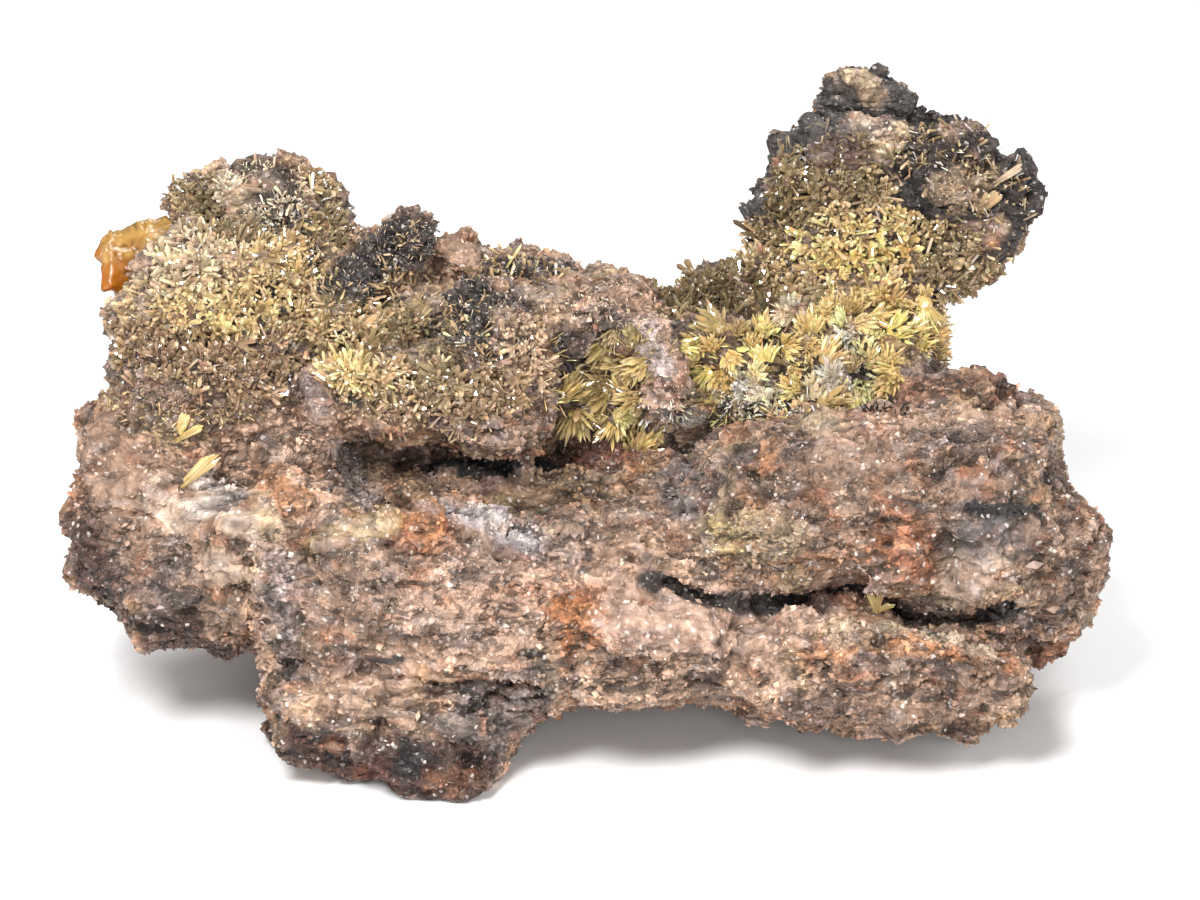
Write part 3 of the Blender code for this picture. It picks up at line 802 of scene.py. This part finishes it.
def attribute(tree, name):
    node = new_node(tree, "Attribute")
    node.attribute_name = name
    return node


def ranged(tree, source, low, high, to_low, to_high):
    """A source mapped from one range to another."""
    limits = {"From_Min": low, "From_Max": high, "To_Min": to_low, "To_Max": to_high}
    return new_node(tree, "MapRange", Value=source, **limits).outputs["Result"]


def multiplied(tree, a, b):
    node = new_node(tree, "Math")
    node.operation = "MULTIPLY"
    tree.links.new(a, node.inputs[0])
    tree.links.new(b, node.inputs[1])
    return node.outputs["Value"]


def dimmed(tree, colour, tone):
    """A colour times a tone."""
    node = new_node(tree, "VectorMath")
    node.operation = "SCALE"
    tree.links.new(colour, node.inputs[0])
    tree.links.new(tone, node.inputs["Scale"])
    return node.outputs["Vector"]


def rock_material():
    material, tree, surface = new_material("weathered rock")
    place = new_node(tree, "TexCoord").outputs["Object"]
    # Dark gaps and pale films lie along the beds.
    flat = new_node(tree, "Mapping", Vector=place, Scale=(0.7, 0.75, 1.5)).outputs["Vector"]
    gaps = new_node(
        tree, "TexNoise", Vector=flat, Scale=520.0, Detail=5.0, Roughness=0.62, Distortion=0.6)
    films = new_node(
        tree, "TexNoise", Vector=flat, Scale=330.0, Detail=4.0, Roughness=0.6, Distortion=0.4)
    films.noise_dimensions = "4D"
    set_inputs(films, W=3.0)
    grain = new_node(tree, "TexVoronoi", Vector=place, Scale=2900.0)
    split = new_node(tree, "SeparateColor", Color=grain.outputs["Color"])
    fine = new_node(tree, "TexNoise", Vector=place, Scale=1600.0, Detail=6.0)
    tone = ranged(tree, gaps.outputs["Fac"], 0.39, 0.48, 0.25, 1.0)
    for source, *limits in (
        (films.outputs["Fac"], 0.35, 0.68, 0.75, 1.45),
        (split.outputs["Red"], 0.0, 1.0, 0.6, 1.5),
        (fine.outputs["Fac"], 0.3, 0.7, 0.65, 1.35),
    ):
        tone = multiplied(tree, tone, ranged(tree, source, *limits))
    evenness = ranged(tree, attribute(tree, "evenness").outputs["Fac"], 0.0, 1.0, 0.0, 0.65)
    tone = new_node(tree, "Mix", Factor=evenness, A=tone, B=1.0).outputs["Result"]
    # A few clear quartz grains, painted pale: partly their own colour, partly painted glints.
    clear = ranged(tree, split.outputs["Green"], 0.95, 1.0, 0.0, 0.8)
    mix = new_node(tree, "Mix")
    mix.data_type = "RGBA"
    mineral = dimmed(tree, attribute(tree, "mineral").outputs["Color"], tone)
    set_inputs(mix, Factor=clear, A=mineral, B=(0.62, 0.55, 0.5, 1))
    roughness = ranged(tree, split.outputs["Blue"], 0.0, 1.0, 0.28, 0.95)
    bump = new_node(tree, "Bump", Strength=1.0, Distance=0.00028, Height=tone)
    set_inputs(surface, Base_Color=mix.outputs["Result"], Roughness=roughness, IOR=1.5,
               Normal=bump.outputs["Normal"])
    return material


def crystal_material(name, roughness, ior, transmission):
    """Small crystals: each keeps its own colour, a little cloudy."""
    material, tree, surface = new_material(name)
    place = new_node(tree, "TexCoord").outputs["Object"]
    cloud = new_node(tree, "TexNoise", Vector=place, Scale=900.0, Detail=3.0)
    tone = ranged(tree, cloud.outputs["Fac"], 0.3, 0.7, 0.75, 1.2)
    tint = dimmed(tree, attribute(tree, "tint").outputs["Color"], tone)
    set_inputs(
        surface, Base_Color=tint, Roughness=roughness, IOR=ior, Transmission_Weight=transmission)
    return material


rock.data.materials.append(rock_material())
rock.data.shade_flat()
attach(rock, "root")
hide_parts("matrix")

mimetite = crystal_material("mimetite", 0.09, 1.8, 0.35)

# --- Crystals ---


def needle_template(sides, waist, shoulder, flat):
    """A unit crystal along z: a narrow root, its widest ring at the shoulder, and a chisel end."""
    angles = np.arange(sides) * 2 * pi / sides
    ring = np.stack([np.cos(angles), np.sin(angles) * flat, np.zeros(sides)], axis=1)
    points = np.concatenate([ring * waist, ring + (0, 0, shoulder), [(0.15, 0, 1.0)]])
    triangles = [(0, i + 1, i) for i in range(1, sides - 1)]
    for i in range(sides):
        j = (i + 1) % sides
        above_i, above_j = sides + i, sides + j
        triangles += [(i, j, above_j), (i, above_j, above_i), (above_i, above_j, 2 * sides)]
    return points, np.array(triangles)


def ball_template(subdivisions):
    bm = bmesh.new()
    bmesh.ops.create_icosphere(bm, subdivisions=subdivisions, radius=1)
    points = np.array([v.co for v in bm.verts])
    triangles = np.array([[v.index for v in face.verts] for face in bm.faces])
    bm.free()
    return points, triangles


needle6 = needle_template(6, 0.62, 0.88, 0.7)
needle4 = needle_template(4, 0.7, 0.86, 0.75)
blade4 = needle_template(4, 0.5, 0.76, 0.55)
LARGE_TUFT = 20  # a tuft of more crystals than this has large ones
SUNK = 0.2  # how deep a single crystal is set, in mm
small_ball = ball_template(1)
large_ball = ball_template(2)
GRAIN = (
    np.array([(1, 0, 0), (-1, 0, 0), (0, 0.85, 0), (0, -0.85, 0), (0, 0, 1), (0, 0, -1)], float),
    np.array([(0, 2, 4), (2, 1, 4), (1, 3, 4), (3, 0, 4),
              (2, 0, 5), (1, 2, 5), (3, 1, 5), (0, 3, 5)]),
)


def unit(vectors):
    return vectors / np.linalg.norm(vectors, axis=-1, keepdims=True)


def varied(spread, shape, middle=0):
    """Random factors round 1, or round the exponential of another middle."""
    return np.exp(rng.normal(middle, spread, shape))


def grown(template, places, directions, widths, lengths, root_colour, body_colour, tip_colour):
    """Points, triangles and colours of many crystals, turned and stretched copies of a template."""
    points, triangles = template
    count = len(places)
    z = unit(directions)
    x = unit(np.cross(rng.normal(size=(count, 3)), z))
    axes = (x, np.cross(z, x), z)
    sized = points[None] * np.stack([widths, widths, lengths], axis=1)[:, None, :]
    world = sum(sized[..., i:i + 1] * axis[:, None, :] for i, axis in enumerate(axes))
    world = world + places[:, None, :]
    faces = triangles[None] + (np.arange(count) * len(points))[:, None, None]
    height = points[:, 2]
    low = np.clip(height * 1.6, 0, 1)[None, :, None]
    high = np.clip(height * 2 - 1, 0, 1)[None, :, None] ** 2
    colours = root_colour[:, None, :] * (1 - low) + body_colour[:, None, :] * low
    colours = colours * (1 - high) + tip_colour[:, None, :] * high
    return world.reshape(-1, 3), faces.reshape(-1, 3), colours.reshape(-1, 3)


def crystal_piece(name, parts, material):
    """One mesh of everything grown, that rides with the specimen."""
    first = np.cumsum([0] + [len(points) for points, _, _ in parts])
    points = np.concatenate([part[0] for part in parts])
    triangles = np.concatenate([part[1] + start for part, start in zip(parts, first)])
    mesh = triangle_mesh(name, points, triangles)
    set_colour(mesh, "tint", np.concatenate([part[2] for part in parts]))
    mesh.materials.append(material)
    piece = new_object(name, mesh)
    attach(piece, "root")
    return piece


def pick(weight, count):
    return rng.choice(len(rock_points), size=count, p=weight / weight.sum())


def spaced(weight, count, apart):
    """Points of the rock inside the weight, no two nearer than apart mm."""
    chosen = []
    places = np.empty((0, 3))
    for index in pick(weight, count * 12):
        place = rock_points[index]
        if len(places) and np.min(np.sum((places - place) ** 2, axis=1)) < (apart * MM) ** 2:
            continue
        chosen.append(index)
        places = rock_points[chosen]
        if len(chosen) == count:
            break
    return np.array(chosen)


def base_colours(places, base):
    """The colour of the crystals that grow at each place."""
    ragged = 0.35 * noise_at(places, 1.6, shift=33.0) + rng.normal(0, 0.15, len(places))
    return lay_patches(places, np.tile(base, (len(places), 1)), CRYSTAL_PATCHES, ragged)


def shades(colour, own, tip_share, root_shading=0.6):
    """Root, body and tip colours: the root darkened as painted shade among the crowded crystals,
    and each crystal a little lighter, darker, warmer or cooler.
    """
    n = len(colour)
    colour = colour * varied(own, (n, 1)) * (1 + rng.normal(0, 0.05, (n, 3)))
    colour = np.clip(colour, 0.01, 0.92)
    share = np.clip(rng.normal(tip_share, 0.18, (n, 1)), 0, 0.8)
    pale = np.array(PALE_TIP) * np.clip(colour.sum(axis=1, keepdims=True) / 1.5, 0.1, 1) ** 2
    return colour * root_shading, colour, np.clip(colour * (1 - share) + pale * share, 0, 0.95)


def tufts(seats, crystals, spread, length, width, colour, template, core, core_size=0.42):
    """Crystals that fan out from shared roots, round a core, its size a share of their length."""
    count = len(seats)
    large = crystals > LARGE_TUFT
    axis = unit(rock_normals[seats] + rng.normal(0, 0.4, (count, 3)))
    size = np.clip(varied(0.28, count), 0.6, 1.45)
    colour = colour * varied(0.16, (count, 1))
    who = np.repeat(np.arange(count), crystals)
    n = len(who)
    turn = rng.uniform(0.2, 1.0, n) ** 0.5
    direction = unit(axis[who] + unit(rng.normal(size=(n, 3))) * (spread * turn)[:, None])
    root = rock_points[seats] - axis * (0.22 * length * size * MM)[:, None]
    places = root[who] + rng.normal(0, 0.09 * length * MM, (n, 3))
    lengths = size[who] * length * MM * rng.uniform(0.65, 1.15, n) * (1 - 0.25 * turn**2)
    widths = np.sqrt(size[who]) * width * MM * varied(0.28, n)
    # The roots are darkened as painted shade, less in the large tufts.
    own, tip_share, root_shading = (0.12, 0.5, 0.95) if large else (0.24, 0.4, 0.75)
    tones = shades(colour[who], own, tip_share, root_shading)
    parts = [grown(template, places, direction, widths, lengths, *tones)]
    radius = core_size * length * size * MM
    centre = root + axis * (0.15 * length * size * MM)[:, None]
    body = np.clip(colour * 0.8, 0.01, 0.9)
    parts.append(grown(core, centre, axis, radius, radius, body, body, body))
    return parts


def singles(indices, length, width, lean, colour, template):
    """Crystals that stand or lie on the rock one by one, whichever way they grew."""
    n = len(indices)
    outward = rock_normals[indices]
    direction = outward + rng.normal(size=(n, 3)) * lean
    inward = np.minimum(np.einsum("ij,ij->i", direction, outward), 0)
    direction = unit(direction - outward * inward[:, None])
    places = rock_points[indices] + rng.normal(0, 0.1 * MM, (n, 3)) - outward * SUNK * MM
    lengths = length * MM * np.clip(varied(0.35, n), 0.4, 1.7)
    widths = width * MM * varied(0.25, n)
    return grown(template, places, direction, widths, lengths, *shades(colour, 0.3, 0.45))


GOLD = (0.96, 0.63, 0.19)
LEMON = (0.96, 0.67, 0.26)
STRAW = (0.58, 0.39, 0.195)
CREAMY = (0.68, 0.495, 0.33)
SNOW = (0.98, 0.86, 0.74)
MOSS = (0.35, 0.255, 0.14)
HONEY_YELLOW = (0.78, 0.55, 0.19)
AGED_GOLD = (0.66, 0.48, 0.18)
DUN = (0.23, 0.18, 0.155)
DUSTY = (0.28, 0.20, 0.10)
DRUSE_BROWN = (0.42, 0.265, 0.155)
PALE_TIP = (0.96, 0.81, 0.57)

# Patches of colour among the crystals: colour, strength, radius in pixels, path.
CRYSTAL_PATCHES = (
    (CREAMY, 0.85, 34, "160,262 215,262 180,280"),
    (HONEY_YELLOW, 0.3, 26, "250,250 285,262 215,290 250,300"),
    (STRAW, 0.8, 30, "180,330 250,330 300,332"),
    (HONEY_YELLOW, 0.5, 24, "180,315 250,315 300,322"),
    (MOSS, 1.0, 34, "214,222 250,228"),
    (MOSS, 0.5, 24, "200,195 230,205"),
    (MOSS, 0.9, 24, "322,200 336,240"),
    (DRUSE_BROWN, 0.9, 38, "140,362 220,372 290,368"),
    (LEMON, 0.5, 22, "345,350 352,378"),
    (STRAW, 0.7, 34, "330,330 395,360 420,385"),
    (MOSS, 0.7, 24, "410,315 440,385 470,405 390,425"),
    (PINK, 0.6, 20, "520,330 530,360"),
    (AGED_GOLD, 0.8, 30, "585,385 600,355"),
    (LEMON, 0.5, 30, "610,415 640,425"),
    (MOSS, 0.7, 16, "560,345 575,330 620,345"),
    (DUSTY, 1.0, 41, "690,308 760,300 735,313"),
    (SNOW, 0.6, 24, "238,178 288,190 268,210"),
    (LEMON, 0.9, 34, "700,365 760,360 800,360 790,395"),
    (GOLD, 0.9, 22, "698,370 750,362 762,352"),
    (SNOW, 0.75, 21, "742,390 768,394"),
    (SNOW, 1.0, 22, "828,388 850,372 862,342"),
    (SNOW, 0.7, 16, "790,318 812,300"),
    (LEMON, 0.85, 30, "850,302 900,300 890,330 850,400"),
    (GOLD, 0.85, 20, "918,326 905,335"),
    (STRAW, 0.8, 40, "790,250 820,240 800,280"),
    (LEMON, 0.85, 36, "810,235 860,255 900,240"),
    (GOLD, 0.85, 18, "840,262 888,246 905,258"),
    (MOSS, 0.8, 28, "930,262 965,270"),
    (DUSTY, 0.9, 38, "800,175 850,168 775,200"),
    (MOSS, 0.6, 60, "940,150 1000,210"),
    (CREAMY, 0.6, 20, "945,185 975,190"),
    (SNOW, 0.6, 14, "880,130 892,134"),
    (DUN, 0.8, 30, "808,118 845,112"),
    (DRUSE_BROWN, 0.75, 24, "478,388 510,375"),
    (DRUSE_BROWN, 0.95, 20, "345,416 430,415 515,422"),
)

# For each CAD node: its tufts, their spacing in mm, crystals in a tuft, length and width in mm,
# spread, then single crystals among the tufts and in the thin zones, base colour and slot.
GROWTH = {
    "mimetite_left_crest": (470, 1.1, 13, 1.65, 0.22, 1.1, 1500, 500, STRAW, "mimetite"),
    "mimetite_middle_crest": (200, 1.1, 13, 1.65, 0.22, 1.1, 800, 500, STRAW, "mimetite"),
    "mimetite_pocket": (24, 2.0, 64, 3.0, 0.19, 0.82, 150, 200, AGED_GOLD, "mimetite_bright"),
    "mimetite_saddle": (96, 1.7, 62, 2.7, 0.21, 0.86, 300, 500, LEMON, "mimetite_bright"),
    "mimetite_horn": (330, 1.15, 14, 1.75, 0.22, 1.05, 1200, 500, STRAW, "mimetite"),
}

facing = turned(rock_normals, -0.6, 0.1)
raised = 0.15 + 0.85 * smooth(-0.9, 0.1, lift)


def grow_fields():
    for node_name, dense, sparse in FIELDS:
        count, apart, crystals, length, width, spread, many, few, base, slot = GROWTH[node_name]
        large = crystals > LARGE_TUFT
        template, ball, small = (blade4, large_ball, 0.5) if large else (needle4, small_ball, 0.85)
        thick = on_rock(dense)
        thin = on_rock(sparse) * (1 - 0.8 * thick)
        seats = spaced(thick * facing * raised, count, apart)
        colour = base_colours(rock_points[seats], base)
        parts = tufts(seats, crystals, spread, length, width, colour, template, ball, 0.26)
        for weight, number, size in ((thick, many, small), (thin, few, 0.8 * small)):
            indices = pick(weight * facing, number)
            colour = base_colours(rock_points[indices], base)
            parts.append(singles(indices, length * size, width * size, 1.6, colour, template))
        piece = crystal_piece(node_name + "_crystals", parts, mimetite)
        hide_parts(node_name)


# Druse, short crystals over the rock between the fields: zones, tufts, their length in mm, and
# how much paler than the rock.
DRUSE = (
    (((26, "130,385 200,398 290,392"), (16, "140,300 128,320")), 170, 0.75, 1.3),
    (((30, "450,515 520,540"), (24, "350,470 380,500")), 110, 0.6, 1.5),
    (((26, "560,455 640,462"), (26, "330,580 400,590"), (26, "640,345 660,380")), 110, 0.6, 1.4),
    (((50, "820,480 900,470 960,440"), (40, "720,530 780,540")), 120, 0.5, 1.3),
)


def grow_druse():
    parts = []
    for zones, count, length, pale in DRUSE:
        seats = spaced(on_rock(zones) * facing * raised, count, 0.6)
        colour = np.clip(rock_colour[seats] * pale + 0.03, 0, 0.9)
        parts += tufts(seats, 9, 1.0, length, 0.1, colour, needle4, small_ball)
    crystal_piece("druse", parts, crystal_material("druse", 0.25, 1.6, 0.25))


ACROSS_BEDS = np.array((0.06, 0.0, 1.0))
GRAINS_FROM = cad_box[0][2] + 1.0 * MM  # no grains below this height
# Crumbs, flakes and quartz grains: count, size in mm, flatness, toss, share of white ones.
GRAINS = {
    "rock_flakes": (9000, 0.36, 0.45, 0.6, 0.0),
    "rock_crumbs": (15000, 0.24, 0.9, 3.0, 0.025),
    "quartz_grains": (3200, 0.085, 1.2, 3.0, 0.3),
}


def grains_at(places, sizes, flatness, spread, toss, colour):
    """Grains that lie along the beds, some tossed about, their flatness spread from low to high."""
    direction = ACROSS_BEDS + rng.normal(size=(len(places), 3)) * toss
    thickness = sizes * flatness * rng.uniform(*spread, len(places))
    return [grown(GRAIN, places, direction, sizes, thickness, colour, colour, colour)]


def strew_grains():
    """Grains over the whole rock, denser where the camera looks."""
    rough = crystal_material("rock crumbs", 0.5, 1.5, 0.0)
    clear = crystal_material("quartz grains", 0.12, 1.55, 0.5)
    seen = 0.4 + 0.6 * turned(rock_normals, -0.5, 0.2)
    seen = seen * (1 - 0.7 * calm) * (1 - 0.95 * on_rock(BRISTLES))
    seen = seen * (rock_points[:, 2] > GRAINS_FROM)
    light = smooth(0.03, 0.2, rock_colour.mean(axis=1))
    for name, (count, size, flatness, toss, white) in GRAINS.items():
        indices = pick(seen, count)
        sunk = rock_normals[indices] * rng.uniform(-0.45, 0.15, (count, 1)) * size * MM
        sizes = size * MM * varied(0.3, count)
        colour = rock_colour[indices] * varied(0.3, (count, 1), 0.05)
        pale = (rng.uniform(size=count) < white * (0.05 + 0.95 * light[indices]))[:, None]
        colour = np.clip(np.where(pale, colour * 0.4 + np.array(WHITE) * 0.5, colour), 0.01, 0.92)
        places = rock_points[indices] + sunk
        grains = grains_at(places, sizes, flatness, (0.7, 1.3), toss, colour)
        crystal_piece(name, grains, clear if name == "quartz_grains" else rough)


def strew_behind():
    """Coarser grains over the back and the underside, where the rock's own mesh is coarser."""
    count = 7000
    rock.data.calc_loop_triangles()
    corners = np.empty(len(rock.data.loop_triangles) * 3, np.int32)
    rock.data.loop_triangles.foreach_get("vertices", corners)
    corners = corners.reshape(-1, 3)
    spots = rock_points[corners]
    across = np.cross(spots[:, 1] - spots[:, 0], spots[:, 2] - spots[:, 0])
    area = np.linalg.norm(across, axis=1)
    away = turned(across / np.maximum(area, 1e-12)[:, None], -0.1, -0.5)
    weight = area * away * (spots[:, :, 2].min(axis=1) > GRAINS_FROM)
    chosen = rng.choice(len(area), size=count, p=weight / weight.sum())
    share = rng.dirichlet((1, 1, 1), count)[:, :, None]
    places = (spots[chosen] * share).sum(axis=1)
    colour = (rock_colour[corners[chosen]] * share).sum(axis=1) * varied(0.35, (count, 1), 0.1)
    sizes = 0.42 * MM * np.clip(varied(0.4, count), 0.4, 1.7)
    grains = grains_at(places, sizes, 1, (0.3, 0.9), 0.7, np.clip(colour, 0.01, 0.9))
    crystal_piece("rock_debris", grains, crystal_material("rock debris", 0.6, 1.5, 0.0))


# Fine dark bristles with pale ones among them cover the black parts: radius and path.
BRISTLES = (
    (15, "278,298 300,292 325,286"),
    (31, "350,286 382,254 412,232 424,238"),
    (36, "455,305 470,340 500,325"),
    (17, "495,270 525,268 560,270"),
    (16, "238,178 262,168 288,182"),
    (17, "255,194 285,202 300,212 268,214"),
    (13, "300,226 312,250 302,290"),
    (8, "178,175 182,192"),
)

# Needles outside the fields: colour, count, length and width in mm, zones.
LOOSE = (
    (CHARCOAL, 2100, 0.45, 0.09, BRISTLES),
    (DUN, 1300, 0.45, 0.08, BRISTLES),
    (CREAMY, 700, 0.55, 0.055, BRISTLES),
    (BLACK, 260, 0.9, 0.12, ((15, "684,408 740,414 800,412 850,408"), (14, "560,350 570,380"))),
    (SNOW, 340, 0.8, 0.09, ((18, "684,404 740,410 800,408 850,404"), (16, "640,405 672,420"))),
    (BLACK, 80, 1.8, 0.22,
     ((8, "858,352 868,358"), (9, "852,372 866,378"), (6, "893,322 895,328"),
      (7, "778,362 784,374"), (6, "834,224 838,232"), (6, "858,268 862,272"),
      (6, "879,252 882,258"))),
    (BLACK, 120, 0.9, 0.12, ((13, "872,410 900,408"), (12, "925,305 930,360"))),
    (SNOW, 380, 0.55, 0.10, ((18, "728,392 768,394"), (17, "828,388 850,372 862,342"))),
    (CREAMY, 360, 0.5, 0.08, ((30, "570,305 640,312"), (22, "500,300 530,345"))),
    (STRAW, 260, 0.8, 0.11, ((17, "100,402 180,415 250,408"),)),
    (CREAMY, 190, 0.85, 0.12, ((26, "240,178 286,190 268,210"),)),
    (SNOW, 80, 0.9, 0.07, ((40, "930,150 960,135 1000,160"), (30, "985,225 1005,215"))),
    (LEMON, 60, 1.8, 0.18,
     ((12, "305,262 312,280"), (12, "500,262 506,272"), (10, "345,345 350,375"))),
)


def grow_loose():
    parts = []
    for colour, count, length, width, zones in LOOSE:
        indices = pick(on_rock(zones) * facing, count)
        parts.append(singles(indices, length, width, 0.9, np.tile(colour, (count, 1)), needle4))
    material = crystal_material("loose needles", 0.2, 1.6, 0.2)
    crystal_piece("loose_needles", parts, material)


SHEAF = 7  # narrow crystals in each large one
ROOTED = 0.6  # how deep they are set, in mm

# Large crystals: CAD node, root pixel, colour, slot, and for each its direction (across, up, near),
# length and width in mm.
BLADES = (
    ("mimetite_blade", (184, 484), HONEY_YELLOW, "mimetite",
     (((0.8, 0.62, 0.3), 5.4, 0.55), ((0.74, 0.72, 0.34), 4.6, 0.5))),
    ("mimetite_ledge_spray", (177, 439), HONEY_YELLOW, "mimetite",
     (((0.35, 1, 0.45), 3.4, 0.55), ((0.5, 0.8, 0.6), 2.4, 0.4), ((1, 0.55, 0.5), 3.4, 0.45))),
    ("mimetite_crack_spray", (877, 612), LEMON, "mimetite",
     (((-0.4, 1, 0.5), 2.8, 0.4), ((0.25, 1, 0.5), 2.8, 0.45), ((1, 0.45, 0.6), 2.2, 0.35))),
    ("mimetite_horn_blade", (979, 211), STRAW, "mimetite",
     (((0.8, 0.75, 0.5), 3.4, 0.6), ((0.5, 0.9, 0.6), 2.6, 0.5))),
    ("mimetite_horn_stick", (995, 183), CREAMY, "mimetite_pale",
     (((0.84, 0.54, 0.25), 3.8, 0.34),)),
)


def grow_blades():
    """Each large crystal is a sheaf of narrow ones grown side by side, not all of one length."""
    for node_name, pixel, colour, slot, crystals in BLADES:
        root, _ = hit(rock_tree, *pixel)
        parts = []
        for (across, up, near), length, width in crystals:
            axis = (Vector((across, 0, 0)) + VIEW_UP * up + VIEW_NEAR * near).normalized()
            side = unit(np.cross(np.array(axis), np.array(VIEW_NEAR)))
            offset = rng.uniform(-1, 1, SHEAF)
            fan = side * (offset * 0.035)[:, None]
            direction = np.array(axis) + fan + rng.normal(0, 0.01, (SHEAF, 3))
            row = side * (offset * 0.4 * width * MM)[:, None]
            places = np.array(root - axis * ROOTED * MM) + row
            places = places + rng.normal(0, 0.08 * width * MM, (SHEAF, 3))
            longest = (length + ROOTED) * MM * (1 - 0.1 * np.abs(offset))
            lengths = longest * rng.uniform(0.88, 1.0, SHEAF)
            widths = width * MM * rng.uniform(0.42, 0.62, SHEAF)
            tones = shades(np.tile(colour, (SHEAF, 1)), 0.12, 0.3)
            parts.append(grown(needle6, places, direction, widths, lengths, *tones))
        piece = crystal_piece(node_name + "_crystals", parts, mimetite)
        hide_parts(node_name)


WULFENITE_TRIANGLES = 9000
AMBER = (0.50, 0.15, 0.002)
HONEY = (0.62, 0.35, 0.085)


def make_wulfenite():
    """The solid tablets, grown together and worn: small facets, honey above and amber below."""
    obj = new_object("wulfenite_crystals", nodes["wulfenite"].data.copy())
    remesh(obj, 0.16, 6)
    mesh = obj.data
    points = coords(mesh)
    relief = 0.3 * fractal_at(points, 2.0, 2, shift=4.0) + 0.16 * blocks_at(points, 1.3, shift=6.0)
    relief += 0.08 * noise_at(points, 0.5, shift=9.0)
    set_coords(mesh, points + normals(mesh) * (relief * MM)[:, None])
    thin = obj.modifiers.new("thin", "DECIMATE")
    thin.ratio = min(1, WULFENITE_TRIANGLES / (2 * len(mesh.polygons)))
    apply_modifiers(obj)
    mesh = obj.data
    points = coords(mesh)
    height = (points[:, 2] - points[:, 2].min()) / np.ptp(points[:, 2])
    pale = smooth(0.35, 0.8, height + 0.25 * noise_at(points, 1.4, shift=2.0))[:, None]
    spots = smooth(0.35, 0.5, noise_at(points, 0.9, shift=14.0))[:, None]
    colour = np.array(AMBER) * (1 - pale) + np.array(HONEY) * pale
    set_colour(mesh, "tint", colour * (1 - 0.55 * spots))
    mesh.materials.clear()
    mesh.materials.append(crystal_material("wulfenite", 0.34, 1.7, 0.5))
    mesh.shade_smooth()
    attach(obj, "root")
    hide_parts("wulfenite")


grow_fields()
grow_druse()
grow_loose()
strew_grains()
grow_blades()
make_wulfenite()
strew_behind()

# --- Camera, floor and lights ---


def aim(name, data, out, distance):
    """Adds a camera or a light that looks at the middle of the view."""
    made = new_object(name, data)
    made.location = VIEW_CENTRE + out * distance
    made.rotation_euler = (-out).to_track_quat("-Z", "Y").to_euler()
    return made


def add_camera():
    data = bpy.data.cameras.new("camera")
    data.sensor_width = 36
    data.lens = data.sensor_width * VIEW_DISTANCE / (WIDTH * PIXEL)
    data.clip_start = 0.01
    bpy.context.scene.camera = aim("camera", data, VIEW_NEAR, VIEW_DISTANCE)


# Name, azimuth and elevation in degrees, distance and size in metres, power in watts.
LIGHTS = (
    ("key", -18, 41, 0.5, 0.15, 3.1),
    ("front", 6, 12, 0.6, 0.3, 2.2),
    ("fill", 60, 30, 0.6, 0.3, 0.9),
    ("back", 165, 55, 0.6, 0.25, 1.8),
)


def add_lights():
    for name, azimuth, elevation, distance, size, power in LIGHTS:
        data = bpy.data.lights.new(name, "AREA")
        data.shape = "DISK"
        data.size = size
        data.energy = power
        a, e = radians(azimuth), radians(elevation)
        aim(name, data, Vector((sin(a) * cos(e), -cos(a) * cos(e), sin(e))), distance)


def add_floor():
    bm = bmesh.new()
    bmesh.ops.create_grid(bm, x_segments=1, y_segments=1, size=3)
    bmesh.ops.translate(bm, verts=bm.verts, vec=(0, 0, cad_box[0][2] - 0.05 * MM))
    mesh = mesh_of("floor", bm)
    material, _, surface = new_material("pale floor")
    set_inputs(surface, Base_Color=(0.93, 0.93, 0.93, 1), Roughness=0.9)
    mesh.materials.append(material)
    new_object("floor", mesh)


def add_world():
    world = bpy.data.worlds.new("studio")
    bpy.context.scene.world = world
    world.use_nodes = True
    set_inputs(world.node_tree.nodes["Background"], Color=(1, 1, 1, 1), Strength=0.38)


add_camera()
add_floor()
add_world()
add_lights()
bpy.context.scene.view_settings.view_transform = "Standard"
